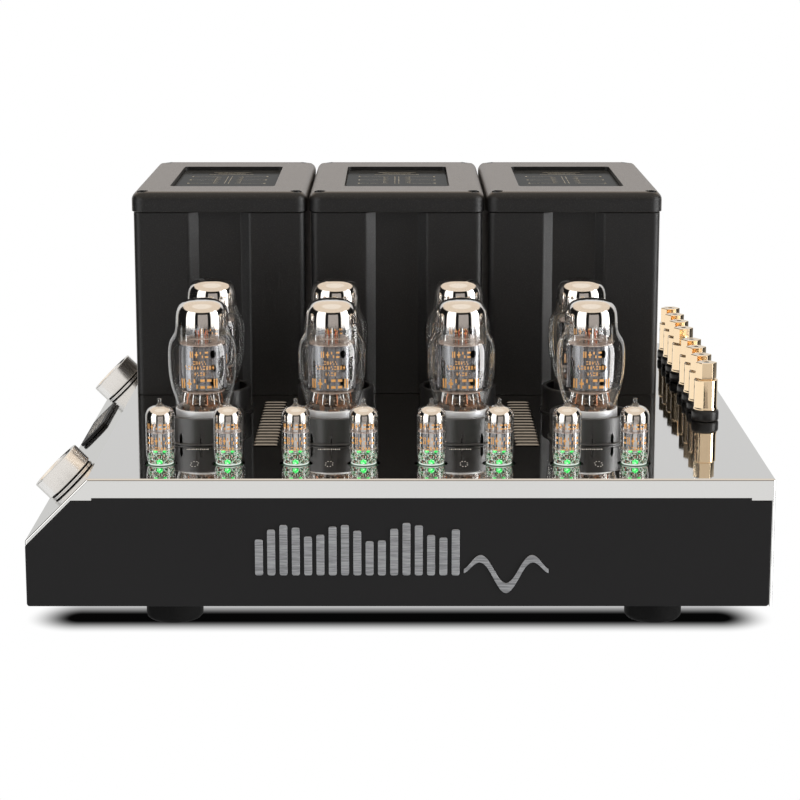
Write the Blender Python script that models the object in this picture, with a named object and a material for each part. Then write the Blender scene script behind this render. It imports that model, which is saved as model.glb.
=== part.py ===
"""Stereo tube power amplifier, modelled as an assembly of separate solids.

Units are metres and +Z is up. The origin is on the floor, below the middle of the
overall box, knobs and signal sockets included. +X is the amplifier's right side as
seen from the front and +Y runs from the front panel to the back. The builders work
from the middle of the chassis, and the assembly empty carries the small shift.
"""

import math

import bmesh
import bpy
from mathutils import Matrix, Vector

MM = 0.001
GAP = 0.3 * MM                     # clearance between pieces that touch

# Chassis
WIDTH = 511.6 * MM
DEPTH = 510 * MM
FOOT_HEIGHT = 20.5 * MM
BODY_HEIGHT = 89.9 * MM            # from the underside of the pan to the top plate
SLANT = 43.5 * MM                  # rise and run of the 45 degree control panel
SHEET = 2 * MM                     # polished steel
LIP_HEIGHT = 13.3 * MM             # folded front and back edge of the top plate
LIP_TAB_DROP = 1.7 * MM
LIP_TAB_LENGTH = 14 * MM
SLANT_LIP = 2.5 * MM
PANEL_THICKNESS = 3 * MM
PAN_THICKNESS = 1.5 * MM
LOUVRE_ROWS = 16
LOUVRE_PITCH = 10 * MM
LOUVRE_SIZE = (18 * MM, 3 * MM)
LOUVRE_X = 94.5 * MM
LOUVRE_FRONT = 102.5 * MM          # first row, from the front face
SHAFT_HOLE = 5 * MM                # radius of the holes for control bushes and studs
VENT_X = (-120 * MM, 0.0, 120 * MM)
VENT_SIZE = (60 * MM, 5 * MM)      # slots in the floor of the pan
VENT_ROWS = 8
VENT_PITCH = 20 * MM
VENT_FRONT = 185 * MM              # first row, from the front face

# Transformer covers
COVER_SIZE = (134.5 * MM, 222 * MM)
COVER_PITCH = 139 * MM
LAYOUT_X = -2 * MM                 # middle of the covers, output tubes and louvres
COVER_FRONT = 282 * MM             # from the front face
COVER_SEAM = 235.8 * MM            # above the underside of the pan
COVER_RADIUS = 8 * MM
COVER_WALL = 2 * MM
CHANNEL_WIDTH = 48 * MM
CHANNEL_SLOPE = 7.4 * MM
CHANNEL_DEPTH = 6.5 * MM
LID_OVERHANG = 1.5 * MM
LID_HEIGHT = 15.8 * MM
LID_ROUND = 6.8 * MM
LID_CORNER = 10 * MM
LID_FLANGE = 3.5 * MM
LID_ROOF = 7.5 * MM                # thickness over the hollow underside
WINDOW_SIZE = (83 * MM, 142 * MM)
WINDOW_SETBACK = 34 * MM           # behind the front edge of the lid's flat top
WINDOW_CORNER = 4 * MM
WINDOW_RECESS = 5.5 * MM
WINDOW_GLASS = 2 * MM
SEAT_RADIUS = 4.5 * MM             # counterbores for the lid screws
SEAT_DEPTH = 2.2 * MM
SEAT_INSET = 8.6 * MM

# Transformers
CORE_SIZE = (100 * MM, 90 * MM, 120 * MM)
BOBBIN_SIZE = (66 * MM, 150 * MM)
BOBBIN_CORNER = 20 * MM
BOBBIN_SPAN = (22 * MM, 98 * MM)   # above the foot of the core

# Tubes
POWER_PITCH = 93.9 * MM
POWER_Y = (129 * MM, 224 * MM)     # from the front face
DRIVER_PITCH = 47.15 * MM
DRIVER_X = -1.3 * MM               # middle of the row
DRIVER_COUNT = 8
DRIVER_Y = 46.5 * MM
COLLAR_RADIUS = 29 * MM
COLLAR_HEIGHT = 19.9 * MM
COLLAR_WALL = 3.2 * MM
COLLAR_FLANGE = (30.5 * MM, 1.3 * MM)
SOCKET_FLOOR = 3 * MM
SOCKET_HOLE = 22 * MM
BASE_RADIUS = 20.1 * MM
BASE_TOP = 23.2 * MM               # rim of the tube's metal base, above the plate
BULB_RADIUS = 25 * MM
BULB_TOP = 103 * MM
DRIVER_RADIUS = 10.2 * MM
DRIVER_TOP = 46.8 * MM
BOARD_HALF_WIDTH = 195 * MM
BOARD_SPAN = (22 * MM, 72 * MM)    # from the front face
BOARD_DROP = 12 * MM               # below the underside of the plate
BOARD_THICKNESS = 1.6 * MM

# Speaker terminals
TERMINAL_X = 231 * MM
TERMINAL_FIRST = 189.4 * MM        # from the front face
TERMINAL_PITCH = 32 * MM
CHANNEL_STEP = 148.5 * MM          # from the first terminal of one channel to the other's
TERMINAL_COLLAR = (10.2 * MM, 8.3 * MM)
TERMINAL_BARREL = (9.1 * MM, 23.1 * MM)
TERMINAL_HEX = (7.95 * MM, 12.8 * MM)
TERMINAL_NECK = 4.4 * MM           # part of the insulator that passes the plate
TERMINAL_STUD = (3 * MM, 30 * MM)
TERMINAL_BORE = (3.6 * MM, 30.6 * MM)
STRIP_SIZE = (36 * MM, 8 * MM)     # width and thickness of the insulating strip
STRIP_END = 16 * MM                # strip beyond the last terminals

# Controls on the slanted panel
KNOB_Y = (85 * MM, 429 * MM)       # from the front face
KNOB_RADIUS = 19.9 * MM
KNOB_LENGTH = 14.4 * MM
KNOB_EDGE = 0.6 * MM               # rounding of the rims
KNOB_BORE = (3.5 * MM, 8 * MM)
KNOB_DISH = (16.4 * MM, 1.2 * MM)
KNOB_STANDOFF = 2.2 * MM
CONTROL_BODY = (12 * MM, 22 * MM)
CONTROL_BUSH = (4.5 * MM, 1.5 * MM)
CONTROL_SHAFT = (2.9 * MM, 9.6 * MM)
BADGE_Y = 292 * MM                 # from the front face
BADGE_RISE = -7 * MM               # from the middle of the panel's slope
BADGE_SIZE = (92 * MM, 26 * MM)
BADGE_CORNER = 9 * MM
BADGE_THICKNESS = 2.8 * MM

# Feet
FOOT_RADIUS = 20 * MM
FOOT_X = (-158.3 * MM, 178.7 * MM)
FOOT_INSET = 45 * MM               # from the front and the back face

# Back panel
INPUT_X = -150 * MM
INPUT_SIZE = (96 * MM, 36 * MM)
MAINS_X = 170 * MM
MAINS_SIZE = (50 * MM, 28 * MM)
BACK_Z = 38 * MM                   # connector height above the underside of the pan
JACK_COUNT = 4
JACK_PITCH = 23 * MM
JACK_RADIUS = 4.6 * MM
JACK_REACH = 6 * MM                # how far the signal sockets stand out
INLET_REACH = 3 * MM
INLET_DEPTH = 30 * MM
INLET_RECESS = (26 * MM, 18 * MM, 15 * MM)

HALF_WIDTH = WIDTH / 2
FRONT = -DEPTH / 2
BACK = DEPTH / 2
PLATE_TOP = FOOT_HEIGHT + BODY_HEIGHT
SLANT_FOOT = PLATE_TOP - SLANT     # height at which the slanted panel starts
DIAGONAL = math.sqrt(2)
KNOB_REACH = (KNOB_STANDOFF + KNOB_LENGTH - KNOB_EDGE + KNOB_RADIUS) / DIAGONAL - SLANT / 2


# ---------------------------------------------------------------- helpers

def clear_scene():
    for item in list(bpy.data.objects):
        bpy.data.objects.remove(item, do_unlink=True)


def make_material(name, colour, roughness, metallic=0.0):
    material = bpy.data.materials.new(name)
    material.use_nodes = True
    shader = material.node_tree.nodes["Principled BSDF"]
    shader.inputs["Base Color"].default_value = (*colour, 1.0)
    shader.inputs["Roughness"].default_value = roughness
    shader.inputs["Metallic"].default_value = metallic
    return material


def make_object(name, bm, material=None, smooth=True):
    bmesh.ops.recalc_face_normals(bm, faces=bm.faces)
    mesh = bpy.data.meshes.new(name)
    bm.to_mesh(mesh)
    bm.free()
    if smooth:
        mesh.shade_smooth()
        mesh.set_sharp_from_angle(angle=math.radians(35))
    if material:
        mesh.materials.append(material)
    item = bpy.data.objects.new(name, mesh)
    bpy.context.collection.objects.link(item)
    return item


def copy_object(source, name, location):
    item = bpy.data.objects.new(name, source.data)
    item.location = location
    bpy.context.collection.objects.link(item)
    for modifier in source.modifiers:
        twin = item.modifiers.new(modifier.name, modifier.type)
        twin.operation = modifier.operation
        twin.object = modifier.object
    return item


def prism(outline, start, end, axis="Z"):
    """Solid between two planes. The outline is in XY for axis Z and in XZ for axis Y."""
    def place(point, depth):
        if axis == "Y":
            return (point[0], depth, point[1])
        return (point[0], point[1], depth)
    return loft([[place(point, depth) for point in outline] for depth in (start, end)])


def loft(loops, closed=False):
    """Skin loops of equal length, capping the ends or joining the last to the first."""
    bm = bmesh.new()
    rings = [[bm.verts.new(point) for point in loop] for loop in loops]
    count = len(rings[0])
    pairs = list(zip(rings, rings[1:]))
    if closed:
        pairs.append((rings[-1], rings[0]))
    for low, high in pairs:
        for i in range(count):
            j = (i + 1) % count
            bm.faces.new((low[i], low[j], high[j], high[i]))
    if not closed:
        bm.faces.new(list(reversed(rings[0])))
        bm.faces.new(rings[-1])
    return bm


def lathe(profile, segments, closed=False):
    """Turn (radius, height) points about Z. A radius of zero makes a pole."""
    bm = bmesh.new()
    rings = []
    for radius, height in profile:
        if radius == 0:
            rings.append([bm.verts.new((0, 0, height))])
            continue
        angles = [2 * math.pi * i / segments for i in range(segments)]
        rings.append([bm.verts.new((radius * math.cos(a), radius * math.sin(a), height))
                      for a in angles])
    pairs = list(zip(rings, rings[1:]))
    if closed:
        pairs.append((rings[-1], rings[0]))
    for low, high in pairs:
        for i in range(segments):
            j = (i + 1) % segments
            corners = [low[i % len(low)], low[j % len(low)],
                       high[j % len(high)], high[i % len(high)]]
            bm.faces.new(list(dict.fromkeys(corners)))
    return bm


def box(low, high):
    corners = [(low[0], low[1]), (high[0], low[1]), (high[0], high[1]), (low[0], high[1])]
    return prism(corners, low[2], high[2])


def arc(centre, radius, start, end, steps):
    """Points on an arc, with angles in degrees."""
    points = []
    for i in range(steps + 1):
        angle = math.radians(start + (end - start) * i / steps)
        points.append((centre[0] + radius * math.cos(angle),
                       centre[1] + radius * math.sin(angle)))
    return points


def rounded_rectangle(size, radius, centre=(0.0, 0.0), steps=3):
    x, y = size[0] / 2 - radius, size[1] / 2 - radius
    points = []
    for corner, (sx, sy) in enumerate(((1, -1), (1, 1), (-1, 1), (-1, -1))):
        middle = (centre[0] + sx * x, centre[1] + sy * y)
        points += arc(middle, radius, -90 + 90 * corner, 90 * corner, steps)
    return points


def boolean(target, tool, operation="DIFFERENCE"):
    modifier = target.modifiers.new(operation.lower(), "BOOLEAN")
    modifier.operation = operation
    modifier.object = tool
    return modifier


def as_helper(item):
    item.hide_render = True
    item.display_type = "WIRE"
    return item


def cutter(name, bm, target, operation="DIFFERENCE"):
    tool = as_helper(make_object(name, bm, smooth=False))
    boolean(target, tool, operation)
    return tool


def merge(bm, other):
    """Add the faces of another bmesh to this one."""
    mesh = bpy.data.meshes.new("merge")
    other.to_mesh(mesh)
    other.free()
    bm.from_mesh(mesh)
    bpy.data.meshes.remove(mesh)


def moved(bm, matrix):
    bmesh.ops.transform(bm, matrix=matrix, verts=bm.verts)
    return bm


def slant_frame(y, height=0.0):
    """Frame on the slanted panel: Z points out of it, X runs up it."""
    middle = Vector((-HALF_WIDTH + SLANT / 2, FRONT + y, SLANT_FOOT + SLANT / 2))
    outward = Vector((-1, 0, 1)).normalized()
    uphill = Vector((1, 0, 1)).normalized()
    across = outward.cross(uphill)
    turn = Matrix((uphill, across, outward)).transposed().to_4x4()
    return Matrix.Translation(middle + outward * height) @ turn


# ---------------------------------------------------------------- chassis

def opening_outline(clearance):
    """Front and back opening inside the folded lip, in XZ, shrunk by a clearance."""
    side = -HALF_WIDTH
    right = HALF_WIDTH - SHEET - clearance
    offset = SLANT_FOOT - side - (SLANT_LIP + clearance) * DIAGONAL
    top = PLATE_TOP - LIP_HEIGHT - clearance
    tab = top - LIP_TAB_DROP
    tab_left = tab - offset + LIP_TAB_LENGTH
    tab_right = HALF_WIDTH - SHEET - LIP_TAB_LENGTH
    return [(side, side + offset), (tab - offset, tab), (tab_left + clearance, tab),
            (tab_left + clearance, top), (tab_right - clearance, top),
            (tab_right - clearance, tab), (right, tab)]


def build_chassis_shell(steel):
    left, right, top = -HALF_WIDTH, HALF_WIDTH, PLATE_TOP
    fold = opening_outline(0)[0][1]
    section = [(left, fold), (left, SLANT_FOOT), (left + SLANT, top), (right, top),
               (right, FOOT_HEIGHT), (right - SHEET, FOOT_HEIGHT), (right - SHEET, fold)]
    shell = make_object("chassis_shell", prism(section, FRONT, BACK, "Y"), steel, smooth=False)

    inset = SHEET * (DIAGONAL - 1)
    below = FOOT_HEIGHT - 10 * MM
    cavity = [(left + SHEET, below), (left + SHEET, SLANT_FOOT - inset),
              (left + SLANT + inset, top - SHEET), (right - SHEET, top - SHEET),
              (right - SHEET, below)]
    cutter("cut_cavity", prism(cavity, FRONT + SHEET, BACK - SHEET, "Y"), shell)

    outline = opening_outline(0)
    outline = [(left - 5 * MM, below), (left - 5 * MM, fold - 5 * MM)] + outline[1:]
    outline.append((right - SHEET, below))
    cutter("cut_opening", prism(outline, FRONT - SHEET, BACK + SHEET, "Y"), shell)
    cutter("cut_plate_holes", plate_holes(), shell)
    return shell


def plate_holes():
    """Cutters for the tube sockets, louvres, terminals and control shafts."""
    low, high = PLATE_TOP - 2 * SHEET, PLATE_TOP + SHEET
    holes = bmesh.new()
    for x, y, _ in power_places():
        merge(holes, round_hole(x, y, SOCKET_HOLE, 12, low, high))
    for x, y, _ in driver_places():
        merge(holes, round_hole(x, y, DRIVER_RADIUS + 4 * GAP, 10, low, high))
    for x, y, _ in terminal_places():
        merge(holes, round_hole(x, y, SHAFT_HOLE, 8, low, high))
    for side in (-1, 1):
        for row in range(LOUVRE_ROWS):
            x = LAYOUT_X + side * LOUVRE_X
            y = FRONT + LOUVRE_FRONT + row * LOUVRE_PITCH
            half_x, half_y = LOUVRE_SIZE[0] / 2, LOUVRE_SIZE[1] / 2
            merge(holes, box((x - half_x, y - half_y, low), (x + half_x, y + half_y, high)))
    for y in KNOB_Y:
        hole = lathe([(0, -4 * SHEET), (SHAFT_HOLE, -4 * SHEET), (SHAFT_HOLE, SHEET),
                      (0, SHEET)], 12)
        merge(holes, moved(hole, slant_frame(y)))
    return holes


def round_hole(x, y, radius, segments, low, high):
    hole = lathe([(0, low), (radius, low), (radius, high), (0, high)], segments)
    return moved(hole, Matrix.Translation((x, y, 0)))


def build_front_panel(black):
    outline = [(HALF_WIDTH - SHEET - GAP, FOOT_HEIGHT), (-HALF_WIDTH, FOOT_HEIGHT)]
    outline += opening_outline(GAP)
    bm = prism(outline, FRONT, FRONT + PANEL_THICKNESS, "Y")
    return make_object("front_panel", bm, black, smooth=False)


def build_base_pan(black):
    """Folded tray: floor, left wall and back wall."""
    right = HALF_WIDTH - SHEET - GAP
    outline = [(right, FOOT_HEIGHT), (-HALF_WIDTH, FOOT_HEIGHT)] + opening_outline(GAP)
    front = FRONT + PANEL_THICKNESS + GAP
    pan = make_object("base_pan", prism(outline, front, BACK, "Y"), black, smooth=False)
    floor = FOOT_HEIGHT + PAN_THICKNESS
    inner = box((-HALF_WIDTH + PAN_THICKNESS, front - SHEET, floor),
                (HALF_WIDTH, BACK - PAN_THICKNESS, PLATE_TOP))
    cutter("cut_pan", inner, pan)

    step = PAN_THICKNESS + 2 * MM
    holes = bmesh.new()
    half_x, half_y = VENT_SIZE[0] / 2, VENT_SIZE[1] / 2
    for x in VENT_X:
        for row in range(VENT_ROWS):
            y = FRONT + VENT_FRONT + row * VENT_PITCH
            merge(holes, box((x - half_x, y - half_y, FOOT_HEIGHT - step),
                             (x + half_x, y + half_y, floor + step)))
    for x, size in ((INPUT_X, INPUT_SIZE), (MAINS_X, MAINS_SIZE)):
        z = FOOT_HEIGHT + BACK_Z
        merge(holes, box((x - size[0] / 2, BACK - step, z - size[1] / 2),
                         (x + size[0] / 2, BACK + step, z + size[1] / 2)))
    cutter("cut_pan_holes", holes, pan)
    return pan


def build_feet(rubber):
    profile = [(0, 0), (FOOT_RADIUS - 3 * MM, 0), (FOOT_RADIUS - 0.9 * MM, 0.9 * MM),
               (FOOT_RADIUS, 3 * MM), (FOOT_RADIUS, FOOT_HEIGHT - GAP), (0, FOOT_HEIGHT - GAP)]
    first = None
    for row, y in (("front", FRONT + FOOT_INSET), ("back", BACK - FOOT_INSET)):
        for side, x in zip(("left", "right"), FOOT_X):
            name = f"foot_{row}_{side}"
            if first is None:
                first = make_object(name, lathe(profile, 20), rubber)
                first.location = (x, y, 0)
            else:
                copy_object(first, name, (x, y, 0))


# ------------------------------------------------------- transformer covers

def cover_outline(inset):
    """Plan of a cover, centred on X, with a shallow channel in front and behind."""
    half_x = COVER_SIZE[0] / 2 - inset
    half_y = COVER_SIZE[1] / 2 - inset
    radius = COVER_RADIUS - inset
    outer = CHANNEL_WIDTH / 2
    inner = outer - CHANNEL_SLOPE
    depth = CHANNEL_DEPTH
    front = [(-outer, -half_y), (-inner, -half_y + depth),
             (inner, -half_y + depth), (outer, -half_y)]
    back = [(-x, -y) for x, y in front]
    corner_x, corner_y = half_x - radius, half_y - radius
    points = list(front)
    points += arc((corner_x, -corner_y), radius, -90, 0, 3)
    points += arc((corner_x, corner_y), radius, 0, 90, 3)
    points += back
    points += arc((-corner_x, corner_y), radius, 90, 180, 3)
    points += arc((-corner_x, -corner_y), radius, 180, 270, 3)
    return points


def at_height(outline, z):
    return [(x, y, z) for x, y in outline]


def cover_centre(index):
    return (LAYOUT_X + (index - 1) * COVER_PITCH, FRONT + COVER_FRONT + COVER_SIZE[1] / 2)


def build_cover(black):
    """Open tube of folded sheet that stands on the top plate."""
    low, high = PLATE_TOP + GAP, FOOT_HEIGHT + COVER_SEAM - GAP
    outer, inner = cover_outline(0), cover_outline(COVER_WALL)
    bm = loft([at_height(outer, low), at_height(outer, high),
               at_height(inner, high), at_height(inner, low)], closed=True)
    return make_object("transformer_cover_left", bm, black)


def lid_outline(inset):
    size = [side + 2 * LID_OVERHANG - 2 * inset for side in COVER_SIZE]
    return rounded_rectangle(size, LID_CORNER - inset)


def build_lid(black):
    """Cast cap with a rolled edge, a window recess and four screw seats."""
    low = FOOT_HEIGHT + COVER_SEAM
    high = low + LID_HEIGHT
    loops = [at_height(lid_outline(0), low)]
    steps = 3
    for i in range(steps + 1):
        angle = math.radians(90 * i / steps)
        inset = LID_ROUND * (1 - math.cos(angle))
        loops.append(at_height(lid_outline(inset), high - LID_ROUND * (1 - math.sin(angle))))
    lid = make_object("cover_lid_left", loft(loops), black)

    under = prism(lid_outline(LID_FLANGE + LID_OVERHANG), low - MM, high - LID_ROOF)
    cutter("cut_lid_underside", under, lid)
    window = [side + 2 * GAP for side in WINDOW_SIZE]
    recess = prism(rounded_rectangle(window, WINDOW_CORNER, (0, window_centre()), 2),
                   high - WINDOW_RECESS, high + MM)
    cutter("cut_window", recess, lid)
    cutter("cut_screw_seats", screw_seats(high), lid)
    return lid


def screw_seats(top):
    seats = bmesh.new()
    profile = [(0, top - SEAT_DEPTH), (SEAT_RADIUS, top - SEAT_DEPTH),
               (SEAT_RADIUS, top + MM), (0, top + MM)]
    for sx in (-1, 1):
        for sy in (-1, 1):
            x = sx * (COVER_SIZE[0] / 2 + LID_OVERHANG - SEAT_INSET)
            y = sy * (COVER_SIZE[1] / 2 + LID_OVERHANG - SEAT_INSET)
            seat = lathe(profile, 10)
            merge(seats, moved(seat, Matrix.Translation((x, y, 0))))
    return seats


def window_centre():
    """Middle of the window, from the middle of the cover."""
    front_edge = -COVER_SIZE[1] / 2 - LID_OVERHANG + LID_ROUND
    return front_edge + WINDOW_SETBACK + WINDOW_SIZE[1] / 2


def build_lid_window(glass):
    floor = FOOT_HEIGHT + COVER_SEAM + LID_HEIGHT - WINDOW_RECESS + GAP
    outline = rounded_rectangle([side - 2 * GAP for side in WINDOW_SIZE], WINDOW_CORNER,
                                (0, window_centre()), 2)
    return make_object("lid_window_left", prism(outline, floor, floor + WINDOW_GLASS), glass)


def build_transformer(iron):
    """Laminated core with its winding bobbin, standing inside a cover."""
    low = PLATE_TOP + GAP
    half_x, half_y, height = CORE_SIZE[0] / 2, CORE_SIZE[1] / 2, CORE_SIZE[2]
    core = make_object("output_transformer_left",
                       box((-half_x, -half_y, low), (half_x, half_y, low + height)),
                       iron, smooth=False)
    bobbin = prism(rounded_rectangle(BOBBIN_SIZE, BOBBIN_CORNER),
                   low + BOBBIN_SPAN[0], low + BOBBIN_SPAN[1])
    cutter("add_bobbin", bobbin, core, "UNION")
    return core


def place_in_row(first, names):
    """Repeat the left-hand piece over the other two covers."""
    x, y = cover_centre(0)
    first.location = (x, y, 0)
    for modifier in first.modifiers:
        modifier.object.parent = first
    for index, name in enumerate(names, start=1):
        x, y = cover_centre(index)
        twin = copy_object(first, name, (x, y, 0))
        for modifier in twin.modifiers:
            tool = copy_object(modifier.object, f"{modifier.object.name}_{index}", (0, 0, 0))
            as_helper(tool).parent = twin
            modifier.object = tool


# ---------------------------------------------------------------- tubes

def place_copies(first, stem, places):
    """Put the first piece at the first place and its copies at the others."""
    for number, place in enumerate(places, start=1):
        if number == 1:
            first.name = f"{stem}_1"
            first.location = place
        else:
            copy_object(first, f"{stem}_{number}", place)


def power_places():
    columns = [LAYOUT_X + (i - 1.5) * POWER_PITCH for i in range(4)]
    return [(x, FRONT + y, PLATE_TOP) for y in POWER_Y for x in columns]


def driver_places():
    columns = [DRIVER_X + (i - (DRIVER_COUNT - 1) / 2) * DRIVER_PITCH
               for i in range(DRIVER_COUNT)]
    return [(x, FRONT + DRIVER_Y, PLATE_TOP) for x in columns]


def build_socket_collar(plastic):
    """Round guard ring with the tube socket as its floor."""
    inner = COLLAR_RADIUS - COLLAR_WALL
    flange, thickness = COLLAR_FLANGE
    profile = [(0, GAP), (flange, GAP), (flange, thickness), (COLLAR_RADIUS, thickness + 2 * GAP),
               (COLLAR_RADIUS, COLLAR_HEIGHT), (inner, COLLAR_HEIGHT),
               (inner, SOCKET_FLOOR), (0, SOCKET_FLOOR)]
    return make_object("socket_collar", lathe(profile, 20), plastic)


def build_power_tube(glass):
    """Metal base and glass bulb of an output tube, as one outer shape."""
    floor = SOCKET_FLOOR + GAP
    waist = 19.3 * MM
    profile = [(0, floor), (BASE_RADIUS, floor), (BASE_RADIUS, BASE_TOP),
               (17.5 * MM, BASE_TOP), (BULB_RADIUS, 51 * MM), (BULB_RADIUS, 61 * MM),
               (waist, 79 * MM), (waist, 93 * MM), (13.5 * MM, 100.8 * MM), (0, BULB_TOP)]
    return make_object("power_tube", lathe(profile, 16), glass)


def build_driver_tube(glass):
    """Small signal tube with its sealed tip."""
    radius = DRIVER_RADIUS
    profile = [(0, GAP), (8 * MM, GAP), (radius, 8 * MM), (radius, 35 * MM),
               (7.6 * MM, 40.4 * MM), (2.2 * MM, 42 * MM), (0, DRIVER_TOP)]
    return make_object("driver_tube", lathe(profile, 12), glass)


def build_driver_board(resin):
    """Circuit board under the plate, with a socket standing up to each small tube."""
    top = PLATE_TOP - SHEET - BOARD_DROP
    front, back = BOARD_SPAN
    board = make_object("driver_board",
                        box((-BOARD_HALF_WIDTH, FRONT + front, top - BOARD_THICKNESS),
                            (BOARD_HALF_WIDTH, FRONT + back, top)), resin, smooth=False)
    sockets = bmesh.new()
    high = PLATE_TOP - SHEET / 2
    for x, y, _ in driver_places():
        merge(sockets, round_hole(x, y, DRIVER_RADIUS, 8, top - MM, high))
    cutter("add_sockets", sockets, board, "UNION")
    return board


# ------------------------------------------------------------- terminals

def terminal_places():
    """Two groups of four, one for each channel."""
    steps = [group * CHANNEL_STEP + i * TERMINAL_PITCH for group in range(2) for i in range(4)]
    return [(TERMINAL_X, FRONT + TERMINAL_FIRST + step, PLATE_TOP) for step in steps]


def build_terminal_block(plastic):
    """Insulating strip under the plate whose collars and studs stand through it."""
    places = terminal_places()
    first, last = places[0][1], places[-1][1]
    top = PLATE_TOP - SHEET - GAP
    right = HALF_WIDTH - SHEET - GAP
    width, thickness = STRIP_SIZE
    strip = box((right - width, first - STRIP_END, top - thickness),
                (right, last + STRIP_END, top))
    block = make_object("terminal_block", strip, plastic, smooth=False)
    radius, height = TERMINAL_COLLAR
    stud, tall = TERMINAL_STUD
    foot = -SHEET - MM
    profile = [(0, foot), (TERMINAL_NECK, foot), (TERMINAL_NECK, GAP), (radius, GAP),
               (radius, height), (stud, height), (stud, tall), (0, tall)]
    posts = bmesh.new()
    for place in places:
        merge(posts, moved(lathe(profile, 12), Matrix.Translation(place)))
    cutter("add_posts", posts, block, "UNION")
    return block


def build_terminal_nut(gold):
    """Turned nut with a hexagonal head, threaded on the stud."""
    low = TERMINAL_COLLAR[1] + GAP
    radius, length = TERMINAL_BARREL
    shoulder = low + length
    bore, depth = TERMINAL_BORE
    profile = [(0, depth), (bore, depth), (bore, low), (radius, low), (radius, shoulder),
               (0, shoulder)]
    nut = make_object("terminal_nut", lathe(profile, 14), gold)
    head = lathe([(0, shoulder - MM), (TERMINAL_HEX[0], shoulder - MM),
                  (TERMINAL_HEX[0], shoulder + TERMINAL_HEX[1]),
                  (0, shoulder + TERMINAL_HEX[1])], 6)
    cutter("add_head", head, nut, "UNION")
    return nut


def place_nuts(first):
    """Each nut turns about the stud it is screwed on."""
    for number, place in enumerate(terminal_places(), start=1):
        if number == 1:
            first.name = "terminal_nut_1"
            first.location = place
            head = first.modifiers[0].object
            head.parent = first
        else:
            nut = copy_object(first, f"terminal_nut_{number}", place)
            tool = as_helper(copy_object(head, f"add_head_{number}", (0, 0, 0)))
            tool.parent = nut
            nut.modifiers[0].object = tool


# ------------------------------------------------------------- controls

def build_control_knob(metal):
    """Turned knob with a dished face, bored to sit on its shaft."""
    bore, depth = KNOB_BORE
    dish, sink = KNOB_DISH
    top, floor = KNOB_LENGTH, KNOB_LENGTH - sink
    rim = KNOB_RADIUS - KNOB_EDGE
    profile = [(0, depth), (bore, depth), (bore, 0), (rim, 0), (KNOB_RADIUS, KNOB_EDGE),
               (KNOB_RADIUS, top - KNOB_EDGE), (rim, top), (dish, top), (dish, floor), (0, floor)]
    return make_object("control_knob_front", lathe(profile, 24), metal)


def build_rotary_control(metal):
    """Control body under the slanted panel, with its bush and shaft."""
    body, depth = CONTROL_BODY
    bush, shoulder = CONTROL_BUSH
    shaft, tip = CONTROL_SHAFT
    under = -SHEET - GAP
    profile = [(0, -depth), (body, -depth), (body, under), (bush, under),
               (bush, shoulder), (shaft, shoulder), (shaft, tip), (0, tip)]
    return make_object("rotary_control_front", lathe(profile, 12), metal)


def build_side_badge(black):
    """Plain plate with rounded corners between the knobs."""
    length, width = BADGE_SIZE
    chamfer = 2 * GAP
    outline = rounded_rectangle((width, length), BADGE_CORNER, steps=5)
    edge = rounded_rectangle((width - 2 * chamfer, length - 2 * chamfer),
                             BADGE_CORNER - chamfer, steps=5)
    low, high = GAP, BADGE_THICKNESS
    loops = [at_height(outline, low), at_height(outline, high - chamfer), at_height(edge, high)]
    badge = make_object("side_badge", loft(loops), black)
    badge.matrix_world = slant_frame(BADGE_Y) @ Matrix.Translation((BADGE_RISE, 0, 0))
    return badge


def build_controls(metal, dark_metal):
    for where, y in zip(("front", "back"), KNOB_Y):
        if where == "front":
            knob = build_control_knob(metal)
            control = build_rotary_control(dark_metal)
        else:
            knob = copy_object(knob, f"control_knob_{where}", (0, 0, 0))
            control = copy_object(control, f"rotary_control_{where}", (0, 0, 0))
        axis = bpy.data.objects.new(f"knob_axis_{where}", None)
        bpy.context.collection.objects.link(axis)
        axis.matrix_world = slant_frame(y, KNOB_STANDOFF)
        knob.parent = axis
        control.matrix_world = slant_frame(y)


# ----------------------------------------------------------- back panel

def build_input_panel(black):
    """Plate with four round signal sockets, fitted from inside."""
    z = FOOT_HEIGHT + BACK_Z
    half_x, half_z = [side / 2 + 5 * MM for side in INPUT_SIZE]
    inner = BACK - PAN_THICKNESS - GAP
    plate = box((INPUT_X - half_x, inner - SHEET, z - half_z),
                (INPUT_X + half_x, inner, z + half_z))
    panel = make_object("input_panel", plate, black, smooth=False)
    jacks = bmesh.new()
    root, tip = -SHEET - MM, BACK + JACK_REACH - inner
    profile = [(0, root), (JACK_RADIUS, root), (JACK_RADIUS, tip), (0, tip)]
    backward = Matrix.Rotation(math.radians(-90), 4, "X")
    for column in range(JACK_COUNT):
        x = INPUT_X + (column - (JACK_COUNT - 1) / 2) * JACK_PITCH
        jack = moved(lathe(profile, 8), backward)
        merge(jacks, moved(jack, Matrix.Translation((x, inner, z))))
    cutter("add_jacks", jacks, panel, "UNION")
    return panel


def build_mains_inlet(plastic):
    """Mains connector body with its recess, fitted from inside."""
    z = FOOT_HEIGHT + BACK_Z
    half_x, half_z = [side / 2 - GAP for side in MAINS_SIZE]
    inlet = make_object("mains_inlet",
                        box((MAINS_X - half_x, BACK - INLET_DEPTH, z - half_z),
                            (MAINS_X + half_x, BACK + INLET_REACH, z + half_z)),
                        plastic, smooth=False)
    width, height, depth = INLET_RECESS
    recess = box((MAINS_X - width / 2, BACK - depth, z - height / 2),
                 (MAINS_X + width / 2, BACK + 2 * INLET_REACH, z + height / 2))
    cutter("cut_recess", recess, inlet)
    return inlet


# ------------------------------------------------------------- assembly

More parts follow.
